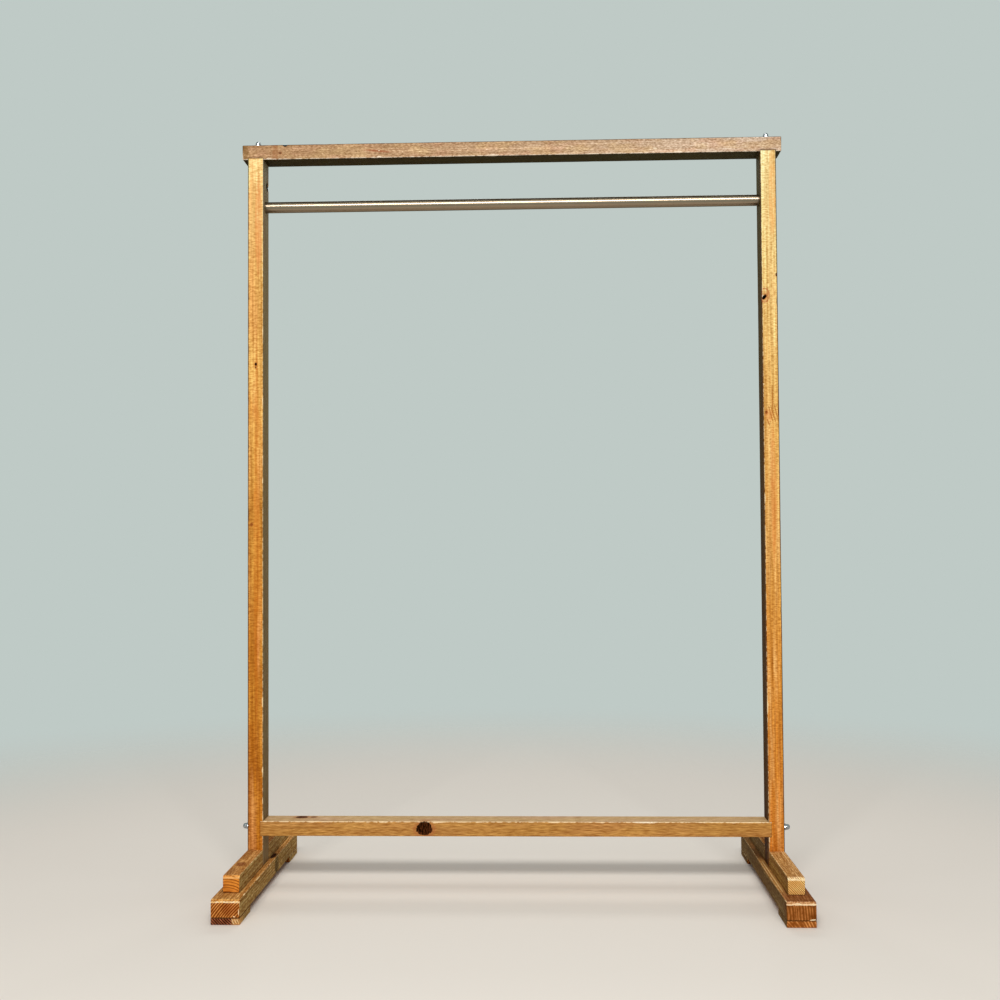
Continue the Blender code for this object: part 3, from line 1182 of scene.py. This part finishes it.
@dataclass
class Frame:
    """The two posts, the top rail and the stretcher, carved to fit one another.

    Attributes:
        boards: the built boards by node.
        overrun: how far a carving runs past the face that it opens.
    """

    boards: dict[str, bpy.types.Object] = field(default_factory=dict)
    overrun: float = 0.01

    def __post_init__(self) -> None:
        """Find the front of the frame and the inner face of the posts."""
        low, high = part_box("left_post")
        self.front, self.inner = low.y, high.x

    def _rail(self) -> Timber:
        """Choose the top rail's timber, with the knots and scuffs on its front.

        Returns:
            The timber.
        """
        front, top = self.front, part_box("top_rail")[1].z
        growth = Growth((-0.035, -0.075), (0.012, 0.02), 0.0042, 3.1)
        return Timber("top_rail", Axis.X, WEATHERED, growth, knots=(
            Knot((-0.5258, front, 1.668), Axis.Y, (0.0032, 0.008, 0.0028), 0.5, 0.6, sink=0.0004),
            Knot.patch((-0.3020, front, 1.6690), Axis.Y, (0.0220, 0.008, 0.0018), (160, 88, 54), 0.6,
                       tilt=5.6),
            Knot.mark((-0.2985, front, 1.6698), Axis.Y, (0.0016, 0.003, 0.0014), 0.9, PALE),
            Knot.mark((0.3285, front, 1.6640), Axis.Y, (0.0050, 0.003, 0.0020), 0.7, PALE),
            Knot.patch((-0.6065, front, 1.6720), Axis.Y, (0.0060, 0.006, 0.0130), (128, 92, 50), 0.6),
            Knot.patch((-0.5370, front, 1.6720), Axis.Y, (0.0045, 0.006, 0.0200), (164, 108, 68), 0.5),
            Knot((-0.5143, front, top - 0.001), Axis.Y, (0.0052, 0.006, 0.0038), 1.0, 0.2, sink=0.0004,
                 heart=BLACK, haloed=0.2)))

    def _left_post(self) -> Timber:
        """Choose the left post's timber, with a hole high on its inner side.

        Returns:
            The timber.
        """
        front, inner = self.front, self.inner
        growth = Growth((-0.010, 0.085), (0.004, 0.010), 0.0048, 11.7)
        return Timber("left_post", Axis.Z, HONEY, growth, square=True, knots=(
            Knot.patch((-0.5755, front, 1.500), Axis.Y, (0.0055, 0.010, 0.080), (228, 146, 84), 0.5),
            Knot.patch((-0.5800, front, 0.800), Axis.Y, (0.0045, 0.010, 0.300), (214, 116, 34), 0.3),
            Knot((-0.5815, front, 1.1838), Axis.Y, (0.0026, 0.006, 0.0034), 1.0, 0.5,
                 heart=((30, 8, 2), (60, 22, 8))),
            Knot((-0.5820, front, 1.1762), Axis.Y, (0.0017, 0.004, 0.0020), 0.8, 0.3),
            Knot((-0.5912, front, 0.8189), Axis.Y, (0.0032, 0.006, 0.0036), 0.7, 0.5,
                 heart=((120, 52, 10), (176, 92, 28))),
            # A dark line across the top of the post under the rail: painted shadow of a gap at the joint.
            Knot.mark((-0.5825, front, 1.6563), Axis.Y, (0.0180, 0.004, 0.0013), 0.6,
                      ((150, 88, 40), (190, 122, 62)), frayed=0.4),
            Knot.patch((-0.5920, front, 1.600), Axis.Y, (0.0060, 0.010, 0.120), (255, 216, 142), 0.2),
            # A greyer, paler tone low on the inner side, which tunes the painted shade there.
            Knot.patch((inner, 0.0, 0.550), Axis.X, (0.0012, 0.060, 0.600), (140, 126, 90), 0.55),
            Knot((inner, 0.0180, 1.602), Axis.X, (0.006, 0.0135, 0.0105), 1.0, 0.3, sink=0.0034,
                 heart=BLACK, haloed=0.0)))

    def _right_post(self) -> Timber:
        """Choose the right post's timber, with a ringed knot hole on its front and a feathered knot below.

        Returns:
            The timber.
        """
        front, inner = self.front, self.inner
        feathers = ((0.5806, 1.0600, 0.019, -15.0), (0.5866, 1.0590, 0.021, -16.0),
                    (0.5928, 1.0640, 0.018, -13.0), (0.5850, 1.0960, 0.030, -1.0),
                    (0.5757, 1.0400, 0.009, -20.0))
        growth = Growth((0.085, 0.020), (0.010, 0.004), 0.0046, 21.3)
        return Timber("right_post", Axis.Z, PALE_HONEY, growth, square=True, knots=(
            Knot.patch((-inner, -0.0240, 0.850), Axis.X, (0.0012, 0.0070, 0.900), (118, 70, 26), 0.65),
            # A dark line across the top of the post under the rail: painted shadow of a gap at the joint.
            Knot.mark((0.5825, front, 1.6563), Axis.Y, (0.0180, 0.004, 0.0014), 0.9,
                      ((92, 54, 22), (140, 90, 44)), frayed=0.4),
            Knot.patch((0.5905, front, 1.560), Axis.Y, (0.0055, 0.010, 0.075), (244, 180, 104), 0.5),
            Knot.patch((0.5850, front, 0.880), Axis.Y, (0.0040, 0.010, 0.110), (222, 128, 60), 0.4),
            Knot((0.5701, front, 1.3228), Axis.Y, (0.0036, 0.006, 0.0066), 1.0, 0.6, tilt=38.0, sink=0.0035,
                 heart=BLACK, halo=(186, 96, 50), haloed=0.55),
            Knot.patch((0.5708, front, 1.3268), Axis.Y, (0.0082, 0.008, 0.0124), (180, 94, 54), 0.35, 0.8,
                       ringed=0.65, frayed=0.25),
            Knot.mark((0.5668, front, 1.3250), Axis.Y, (0.0020, 0.003, 0.0032), 1.0, PALE),
            Knot((0.5975, front, 1.373), Axis.Y, (0.0018, 0.005, 0.0036), 0.9, 0.5),
            Knot((0.5713, front, 1.0631), Axis.Y, (0.0026, 0.006, 0.0032), 0.8, 0.3, sink=0.0004,
                 heart=((112, 50, 8), (160, 84, 24))),
            Knot.patch((0.5765, front, 1.0560), Axis.Y, (0.0060, 0.012, 0.0100), (222, 130, 70), 0.35, 1.6),
            *(Knot.mark((x, front, z), Axis.Y, (0.0014, 0.004, length), 0.7, ((170, 94, 26), (188, 112, 40)),
                        tilt=tilt, frayed=0.5) for x, z, length, tilt in feathers),
            Knot.patch((0.5990, front, 1.0655), Axis.Y, (0.0014, 0.004, 0.0120), (116, 58, 18), 0.8)))

    def _stretcher(self) -> Timber:
        """Choose the stretcher's timber, with a double knot on its front and two on its top.

        Returns:
            The timber.
        """
        front, top = self.front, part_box("stretcher")[1].z
        growth = Growth((-0.060, -0.045), (0.015, 0.010), 0.0038, 31.9)
        return Timber("stretcher", Axis.X, TAN, growth, square=True, knots=(
            Knot((-0.2014, front, 0.1336), Axis.Y, (0.0184, 0.024, 0.0132), 1.0, 3.0, sink=0.0008,
                 heart=UMBER, halo=RUDDY, haloed=0.4, ringed=0.35),
            Knot((-0.2004, front, 0.1386), Axis.Y, (0.0156, 0.020, 0.0126), 1.0, 0.0, sink=0.0005,
                 heart=UMBER, halo=RUDDY, haloed=0.3),
            Knot.mark((0.2916, front, top), Axis.Y, (0.0310, 0.004, 0.0027), 1.0, PALE),
            Knot((-0.4854, 0.0152, top), Axis.Z, (0.0140, 0.0120, 0.012), 0.9, 1.5, sink=0.0005),
            Knot((-0.4579, 0.0155, top), Axis.Z, (0.0070, 0.0060, 0.008), 0.6, 1.0)))

    def build(self) -> None:
        """Build the timbers, carve their joints and make them ride on the rack."""
        timbers = [self._rail(), self._left_post(), self._right_post(), self._stretcher()]
        for timber in timbers:
            self.boards[timber.node] = timber.build()
        self._house_posts()
        self._house_stretcher()
        self._bore_sockets()
        self._drill_bolts()
        for timber in timbers:
            timber.settle(self.boards[timber.node])

    def _house_posts(self) -> None:
        """Carve the shallow housings under the rail that the posts fill."""
        carving = Carving("post_housings")
        for side in Side:
            low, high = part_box(f"{side.word}_post")
            carving.box((low.x - SEAM, low.y - self.overrun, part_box("top_rail")[0].z - self.overrun),
                        (high.x + SEAM, high.y + self.overrun, high.z + SEAM))
        carving.apply([self.boards["top_rail"]])

    def _house_stretcher(self) -> None:
        """Carve the housings in the posts that the stretcher's ends fill."""
        low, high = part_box("stretcher")
        carving = Carving("stretcher_housings")
        carving.box((low.x - SEAM, low.y - self.overrun, low.z - SEAM),
                    (high.x + SEAM, high.y + self.overrun, high.z + SEAM))
        carving.apply(self._posts())

    def _bore_sockets(self) -> None:
        """Bore the blind sockets that hold the pipe."""
        low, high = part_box("hanging_pipe")
        half = (high - low) / 2
        carving = Carving("pipe_sockets")
        carving.bore(facing((low + high) / 2, (1, 0, 0)), half.x + SEAM, half.z + SEAM, 64)
        carving.apply(self._posts())

    def _drill_bolts(self) -> None:
        """Drill for the hanger bolts."""
        carving = Carving("bolt_holes")
        for side in Side:
            for seat in Seat:
                low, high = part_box(f"{side.word}_{seat.value}_bolt")
                outward = seat.outward(side)
                reach = abs((high - low).dot(outward)) / 2 + SEAM
                carving.bore(facing((low + high) / 2, outward), reach, min(high - low) / 2 + SEAM)
        carving.apply(self.boards.values())

    def _posts(self) -> list[bpy.types.Object]:
        """The two posts' boards."""
        return [self.boards[f"{side.word}_post"] for side in Side]


@dataclass(frozen=True)
class Ripple:
    """One piece of the pale band under a chamfer.

    Attributes:
        middle: where its middle is across the timber, as a share of the timber's width.
        reach: half its length, as the same kind of share.
        drop: how low it hangs under the chamfer's edge.
        thick: half its height.
    """

    middle: float
    reach: float
    drop: float
    thick: float


@dataclass(frozen=True)
class Lot:
    """What one timber of a foot was cut from.

    Attributes:
        growth: how it lay in its tree.
        finish: its colours and wear.
        knots: its knots, patches and chips.
        upward: the tone of its top, its own colour with painted shade and light for how the top is lit.
        eased: the tone of its chamfered ends.
        brink: the tone of the worn edge under a chamfer.
        inward: the painted shade of its inner side, with patina, where it differs from its foot's.
        ripples: the pale band under each chamfer.
    """

    growth: Growth
    finish: TimberFinish = BROWN
    knots: tuple[Knot, ...] = ()
    upward: Rgb = (176, 122, 64)
    eased: Rgb = (232, 186, 122)
    brink: Rgb = (255, 230, 184)
    inward: Rgb | None = None
    ripples: tuple[Ripple, ...] = (
        Ripple(-0.40, 0.17, 0.0004, 0.0015), Ripple(-0.14, 0.16, -0.0004, 0.0020),
        Ripple(0.12, 0.18, 0.0003, 0.0016), Ripple(0.38, 0.17, -0.0002, 0.0021))

    def brinks(self, node: str, ends: Sequence[End]) -> list[Knot]:
        """Make the pale band along the lower edge of each chamfer.

        Args:
            node: the timber's node.
            ends: its chamfered ends.

        Returns:
            The bands.
        """
        low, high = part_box(node)
        middle, width, edge = (low.x + high.x) / 2, high.x - low.x, high.z - Timber.chamfer
        bands = []
        for end in ends:
            face = low.y if end is End.FRONT else high.y
            for ripple in self.ripples:
                bands.append(Knot.mark(
                    (middle + width * ripple.middle, face, edge - ripple.drop), Axis.Y,
                    (width * ripple.reach, 0.0034, ripple.thick), 0.8, (self.brink, self.eased), frayed=2.6))
        return bands


SLOPE = math.sqrt(0.5)
CHAMFERED = {"runner": tuple(End), "front_block": (End.FRONT,), "rear_block": (End.REAR,)}


@dataclass
class Foot:
    """The timbers and screws of one foot.

    Attributes:
        side: the side that it stands on.
        lots: what each of its timbers was cut from, by the last part of the node's name.
        arris: the radius of its timbers' worn edges.
        screw_sides: how many facets a screw's hole has.
        overrun: how far a hole runs past the face that it opens.
    """

    side: Side
    lots: dict[str, Lot]
    arris: float = 0.0013
    screw_sides: int = 24
    overrun: float = 0.004

    def build(self) -> None:
        """Build the timbers, drill them and make them ride on the rack."""
        timbers = [self._timber(part, lot) for part, lot in self.lots.items()]
        boards = [timber.build() for timber in timbers]
        self._drill(boards)
        for timber, board in zip(timbers, boards):
            timber.settle(board)

    def _timber(self, part: str, lot: Lot) -> Timber:
        """Choose one timber, with the tones of its faces.

        Args:
            part: the last part of its node's name.
            lot: what it was cut from.

        Returns:
            The timber.
        """
        node, ends = f"{self.side.word}_{part}", CHAMFERED.get(part, ())
        inward = -float(self.side.value)
        # The inner side's tone is painted shade with patina; the top's tone holds painted shade and light.
        shades = [Shade((inward, 0.0, 0.0), lot.inward or INWARD[self.side], 0.9),
                  Shade(UP, lot.upward, 0.95, reach=0.72)]
        shades += [Shade((0.0, end.value * SLOPE, SLOPE), lot.eased, 1.0, reach=0.68, broken=0.5)
                   for end in ends]
        seam = (0.0, 0.0, 1.0 if "pad" in part else -1.0)
        finish = replace(lot.finish, worn=(inward / 2, 0.0, 0.5), grimed=seam, shades=tuple(shades))
        knots = (*lot.knots, *lot.brinks(node, ends))
        return Timber(node, Axis.Y, finish, lot.growth, ends, knots, self.arris)

    def _drill(self, boards: Sequence[bpy.types.Object]) -> None:
        """Drill and countersink for the screws.

        Args:
            boards: the foot's boards.
        """
        carving = Carving(f"{self.side.word}_foot_holes")
        for node in sorted(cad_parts):
            if "screw" not in node or not node.startswith(self.side.word):
                continue
            low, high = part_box(node)
            head, height = (high.x - low.x) / 2, high.z - low.z
            shank = head / 2
            profile = [(0, -self.overrun), (head + SEAM, -self.overrun), (head + SEAM, 0),
                       (shank + SEAM, head - shank), (shank + SEAM, height), (0, height)]
            place = facing((low.x + head, low.y + head, low.z), UP)
            spin(carving.shape, profile, self.screw_sides, place)
        carving.apply(boards)


@dataclass
class HangingPipe:
    """The bright tube that the hangers go on.

    Attributes:
        node: the frame's node.
        wall: the tube's wall.
        eased: the chamfer at its ends.
        sides: how many facets it has.
    """

    node: str = "hanging_pipe"
    wall: float = 0.0015
    eased: float = 0.0004
    sides: int = 96

    def build(self) -> None:
        """Build and dress the tube."""
        low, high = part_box(self.node)
        centre, half = (low + high) / 2, (high - low) / 2
        outer, reach = half.z, half.x
        shape = bmesh.new()
        spin(shape, [(outer - self.eased, -reach), (outer, self.eased - reach), (outer, reach - self.eased),
                     (outer - self.eased, reach), (outer - self.wall, reach), (outer - self.wall, -reach)],
             self.sides, Matrix.Identity(4), closed=True)
        tube = piece_from(shape, "hanging_pipe_tube", facing(centre, (1, 0, 0)))
        STAINLESS.dress(tube, "brushed_stainless", self.node)


def piece_from(shape: bmesh.types.BMesh, name: str, place: Matrix) -> bpy.types.Object:
    """Turn a shape into a smooth piece.

    Args:
        shape: the shape, which is freed.
        name: the piece's name.
        place: where it stands.

    Returns:
        The piece.
    """
    mesh = bpy.data.meshes.new(name)
    shape.to_mesh(mesh)
    shape.free()
    smooth(mesh)
    piece = bpy.data.objects.new(name, mesh)
    piece.matrix_world = place
    bpy.context.scene.collection.objects.link(piece)
    return piece


@dataclass
class CapNut:
    """A cap nut and the washer under it.

    Attributes:
        side: the side of the rack.
        seat: where it sits.
        hex_height: the height of its hexagon.
        chamfer: the height of the hexagon's rounded corners.
        dome_share: the dome's width as a share of the hexagon's.
        bore: the radius of its thread.
        sides: how many facets its round parts have.
        rings: how many rings its dome has.
    """

    side: Side
    seat: Seat
    hex_height: float = 0.0065
    chamfer: float = 0.0009
    dome_share: float = 0.94
    bore: float = 0.0043
    sides: int = 48
    rings: int = 12

    def build(self) -> None:
        """Build and dress the nut and its washer."""
        for kind, name, profile in (("nut", "cap_nut", self._nut), ("washer", "washer_ring", self._washer)):
            node = f"{self.side.word}_{self.seat.value}_{kind}"
            low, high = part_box(node)
            outward = self.seat.outward(self.side)
            height = abs((high - low).dot(outward))
            shape = bmesh.new()
            spin(shape, profile(high - low, height), self.sides, Matrix.Identity(4), closed=kind == "washer")
            foot = (low + high) / 2 - outward * height / 2
            piece = piece_from(shape, node.replace(kind, name), facing(foot, outward))
            CHROMED.dress(piece, node + "_chrome", node)

    def _nut(self, size: Vector, height: float) -> list[tuple[float, ...]]:
        """Draw the nut's profile, from its drilled inside out and up to the dome's top.

        Args:
            size: the size of the frame's node.
            height: its height over its seat.

        Returns:
            Radii and heights, with a 6 for a hexagon.
        """
        flat, eased = min(size) / 2, self.chamfer * 0.15
        dome = flat * self.dome_share
        shoulder = height - dome
        profile = [(0, shoulder * 1.2), (self.bore, shoulder), (self.bore, self.chamfer),
                   (self.bore + self.chamfer, 0), (flat - self.chamfer / 2, 0), (flat, eased),
                   (flat, self.chamfer, 6), (flat, self.hex_height - self.chamfer, 6),
                   (flat, self.hex_height - eased), (flat - self.chamfer / 2, self.hex_height),
                   (dome, self.hex_height), (dome, shoulder)]
        for ring in range(1, self.rings):
            rise = math.pi / 2 * ring / self.rings
            profile.append((dome * math.cos(rise), shoulder + dome * math.sin(rise)))
        return profile + [(0, height)]

    def _washer(self, size: Vector, height: float) -> list[tuple[float, ...]]:
        """Draw the washer's profile.

        Args:
            size: the size of the frame's node.
            height: its thickness.

        Returns:
            Radii and heights, up the outer side and then the bore.
        """
        rim, eased = max(size) / 2, height / 5
        return [(self.bore, 0), (rim - eased, 0), (rim, eased), (rim, height - eased), (rim - eased, height),
                (self.bore, height)]


@dataclass
class InnerSteel:
    """The hanger bolts and wood screws, whose plain solids stay and get their finish."""

    words: tuple[str, ...] = ("_bolt", "screw")

    def dress(self) -> None:
        """Give each bolt and screw its plated finish."""
        plated = ZINC.material("zinc_plating")
        for node, piece in sorted(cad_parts.items()):
            if any(word in node for word in self.words):
                piece.data.materials.clear()
                piece.data.materials.append(plated)
                smooth(piece.data)
                LOG.info("%s: dressed", node)


@dataclass(frozen=True)
class Lamp:
    """A soft rectangular lamp.

    Attributes:
        name: its name.
        place: where it hangs.
        target: what it is turned to.
        size: its width and height.
        power: its power in watts.
    """

    name: str
    place: Triple
    target: Triple
    size: Pair
    power: float

    def hang(self) -> None:
        """Add the lamp to the scene."""
        data = bpy.data.lights.new(self.name, "AREA")
        data.shape = "RECTANGLE"
        data.size, data.size_y = self.size
        data.energy = self.power
        lamp = bpy.data.objects.new(self.name, data)
        lamp.location = self.place
        lamp.rotation_mode = "QUATERNION"
        lamp.rotation_quaternion = (Vector(self.place) - Vector(self.target)).to_track_quat("Z", "Y")
        bpy.context.scene.collection.objects.link(lamp)


@dataclass
class Studio:
    """The camera, the lights, the floor and the backdrop's colour.

    Attributes:
        eye: where the camera stands.
        yaw: how far it turns to the left, in radians.
        pitch: how far it looks up.
        roll: how far it leans to the right.
        lens: its focal length in millimetres, for a 36 mm sensor.
        floor_radius: how far the floor reaches.
        floor_clear: the radius inside which the floor is solid.
        floor: the floor's colour.
        backdrop: the backdrop's colour.
        ambient: how bright the light from all round is.
        lamps: the lamps.
    """

    eye: Triple = (0.0772, -2.899, 0.7788)
    yaw: float = 0.03634
    pitch: float = 0.03192
    roll: float = -0.00591
    lens: float = 45.90
    floor_radius: float = 3.2
    floor_clear: float = 1.2
    floor: Rgb = (232, 225, 214)
    backdrop: Rgb = (191, 202, 198)
    ambient: float = 0.22
    lamps: tuple[Lamp, ...] = (Lamp("key", (0.0, -5.0, 4.1), (0.0, 0.0, 0.9), (3.8, 1.0), 290.0),
                               Lamp("overhead", (0.0, 0.2, 4.2), (0.0, 0.0, 0.0), (2.0, 1.6), 28.0),
                               Lamp("rear", (0.0, 5.0, 4.1), (0.0, 0.0, 0.9), (3.0, 1.0), 60.0))

    def build(self) -> None:
        """Set up the camera, the lights, the floor and the world."""
        bpy.context.scene.view_settings.view_transform = "Standard"
        self._camera()
        self._world()
        self._floor()
        for lamp in self.lamps:
            lamp.hang()

    def _camera(self) -> None:
        """Stand the camera where the photograph was taken from."""
        level = math.cos(self.pitch)
        ahead = Vector((-math.sin(self.yaw) * level, math.cos(self.yaw) * level, math.sin(self.pitch)))
        right = Vector((math.cos(self.yaw), math.sin(self.yaw), 0.0))
        up = right.cross(ahead)
        tilted_right = right * math.cos(self.roll) + up * math.sin(self.roll)
        tilted_up = up * math.cos(self.roll) - right * math.sin(self.roll)
        turn = Matrix((tilted_right, tilted_up, -ahead)).transposed().to_4x4()
        data = bpy.data.cameras.new("camera")
        data.lens = self.lens
        camera = bpy.data.objects.new("camera", data)
        camera.matrix_world = Matrix.Translation(self.eye) @ turn
        bpy.context.scene.collection.objects.link(camera)
        bpy.context.scene.camera = camera

    def _world(self) -> None:
        """Light from all round, and the pale backdrop that the camera, metal and glass see."""
        world = bpy.data.worlds.new("studio")
        bpy.context.scene.world = world
        graph = Graph(world)
        light = graph.nodes["Background"]
        graph.feed(light, {"Color": (1.0, 1.0, 1.0, 1.0), "Strength": self.ambient})
        seen = graph.add("ShaderNodeBackground", {"Color": linear(self.backdrop)})
        rays = graph.add("ShaderNodeLightPath", {}).outputs
        direct = graph.math("MAXIMUM", rays["Is Camera Ray"], rays["Is Glossy Ray"])
        direct = graph.math("MAXIMUM", direct, rays["Is Transmission Ray"])
        both = graph.add("ShaderNodeMixShader", {0: direct, 1: light.outputs[0], 2: seen.outputs[0]})
        graph.feed(graph.nodes["World Output"], {0: both.outputs[0]})

    def _floor(self) -> None:
        """Lay a plain pale floor that fades into the backdrop."""
        shape = bmesh.new()
        bmesh.ops.create_circle(shape, cap_ends=True, segments=128, radius=self.floor_radius)
        floor = piece_from(shape, "floor", Matrix.Identity(4))
        graph = Graph(bpy.data.materials.new("pale_floor"))
        place = graph.add("ShaderNodeTexCoord", {}).outputs["Object"]
        solid = graph.fall(graph.vector("LENGTH", place), self.floor_clear, self.floor_radius)
        floor.data.materials.append(graph.surface({"Base Color": linear(self.floor), "Roughness": 0.85,
                                                   "Alpha": solid}))


FOOT_FRONT, SEAM_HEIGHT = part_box("left_runner")[0].yz
LEFT_INNER, _, RUNNER_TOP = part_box("left_runner")[1]
BLOCK_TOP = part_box("left_front_block")[1].z


def chip(x: float, z: float, width: float, height: float, tilt: float = 0.0) -> Knot:
    """Make a pale chip on the front end of a foot's timber."""
    return Knot.mark((x, FOOT_FRONT, z), Axis.Y, (width / 2, 0.004, height / 2), 0.9,
                     ((250, 214, 160), (255, 236, 200)), tilt=tilt)


def blush(x: float, z: float, width: float, height: float, colour: Rgb, share: float) -> Knot:
    """Make a soft patch of another colour on the front end of a foot's timber."""
    return Knot.patch((x, FOOT_FRONT, z), Axis.Y, (width / 3.5, 0.02, height / 3.5), colour, share)


LOTS = {
    Side.LEFT: {
        "runner": Lot(Growth((0.150, -0.135), pitch=0.0046, seed=41.2, wander=0.004, varied=0.8), knots=(
            chip(-0.5548, 0.026, 0.0016, 0.012), chip(-0.5640, SEAM_HEIGHT + 0.0028, 0.005, 0.0026, 20.0),
            blush(-0.573, 0.032, 0.034, 0.030, (120, 34, 8), 0.25),
            Knot((-0.5612, 0.062, RUNNER_TOP), Axis.Z, (0.0046, 0.0200, 0.004), 0.85, 0.8, sink=0.0006,
                 heart=((24, 10, 5), (66, 30, 14)), halo=(60, 34, 16), haloed=0.8, frayed=1.5),
            # A dark patch on the inner side behind the post: the knot's dark wood with painted shade of the
            # corner.
            Knot.patch((LEFT_INNER, 0.0600, 0.032), Axis.X, (0.003, 0.015, 0.015), (62, 48, 22), 0.7, 0.6)),
            upward=(206, 158, 96), eased=(240, 188, 108)),
        "front_pad": Lot(
            Growth((0.130, 0.140), pitch=0.0042, seed=43.9, wander=0.004, varied=0.8),
            replace(BROWN, end_early=(48, 14, 4), end_late=(186, 112, 76), end_thin=1.9, wear=0.0004), (
                blush(-0.5560, SEAM_HEIGHT / 2, 0.032, 0.040, (236, 172, 98), 0.45),
                *(Knot.mark((x, FOOT_FRONT, SEAM_HEIGHT / 2), Axis.Y, (0.0009, 0.004, 0.0060), 0.7,
                            ((255, 232, 180), (246, 200, 134)), tilt=-24.0, frayed=0.6)
                  for x in (-0.5668, -0.5612, -0.5562)))),
        "rear_pad": Lot(Growth((-0.060, -0.070), pitch=0.0050, seed=47.3, wander=0.006)),
        "front_block": Lot(
            Growth((-0.010, -0.050), pitch=0.0064, seed=51.1, wander=0.008),
            replace(BROWN, end_early=(222, 140, 54), end_late=(138, 70, 16), end_thin=3.0),
            (Knot.patch((-0.585, -0.157, BLOCK_TOP), Axis.Z, (0.0075, 0.012, 0.01), (116, 52, 24), 0.5,
                        0.8),),
            upward=(202, 152, 94), eased=(230, 170, 100), brink=(240, 184, 112)),
        "rear_block": Lot(Growth((0.050, 0.060), pitch=0.0046, seed=53.7, wander=0.006)),
    },
    Side.RIGHT: {
        "runner": Lot(
            Growth((-0.150, -0.020), pitch=0.0056, seed=61.8, wander=0.010, varied=3.2), STREAKED, (
                chip(0.6045, SEAM_HEIGHT + 0.0016, 0.013, 0.0026, -6.0),
                blush(0.6125, 0.034, 0.014, 0.050, (96, 44, 6), 0.5),
                blush(0.5525, 0.034, 0.012, 0.050, (96, 48, 8), 0.4),
                # A golden painted pool of light on the runner's top before the post, and a darker painted
                # shadow of the post behind it.
                Knot.patch((0.5588, -0.085, RUNNER_TOP), Axis.Z, (0.0070, 0.105, 0.004), (182, 134, 72), 0.7),
                Knot.patch((0.5588, 0.190, RUNNER_TOP), Axis.Z, (0.0070, 0.105, 0.004), (104, 78, 40), 0.6),
                Knot.mark((0.5588, -0.100, RUNNER_TOP), Axis.Z, (0.0013, 0.130, 0.003), 0.85,
                          ((240, 206, 144), (206, 162, 94)))),
            upward=(142, 92, 58), eased=(244, 200, 150)),
        "front_pad": Lot(
            Growth((-0.080, -0.055), pitch=0.0056, seed=63.5, wander=0.008),
            replace(STREAKED, end_early=(150, 86, 34), end_late=(212, 142, 80), wear=0.0004)),
        "rear_pad": Lot(Growth((0.075, -0.060), pitch=0.0050, seed=67.1, wander=0.006)),
        "front_block": Lot(
            Growth((-0.140, -0.140), pitch=0.0033, seed=71.4, wander=0.003, varied=0.8),
            replace(BROWN, end_early=(255, 200, 118), end_late=(108, 52, 8), end_thin=1.5),
            upward=(224, 180, 120), eased=(244, 204, 140), inward=(160, 126, 66)),
        "rear_block": Lot(Growth((-0.055, 0.070), pitch=0.0044, seed=73.2, wander=0.006)),
    },
}


def main() -> None:
    """Build the rack and the studio round it."""
    logging.basicConfig(level=logging.INFO, format="%(name)s: %(message)s")
    Frame().build()
    for side in Side:
        Foot(side, LOTS[side]).build()
    HangingPipe().build()
    for side in Side:
        for seat in Seat:
            CapNut(side, seat).build()
    InnerSteel().dress()
    Studio().build()


if __name__ == "__main__":
    main()
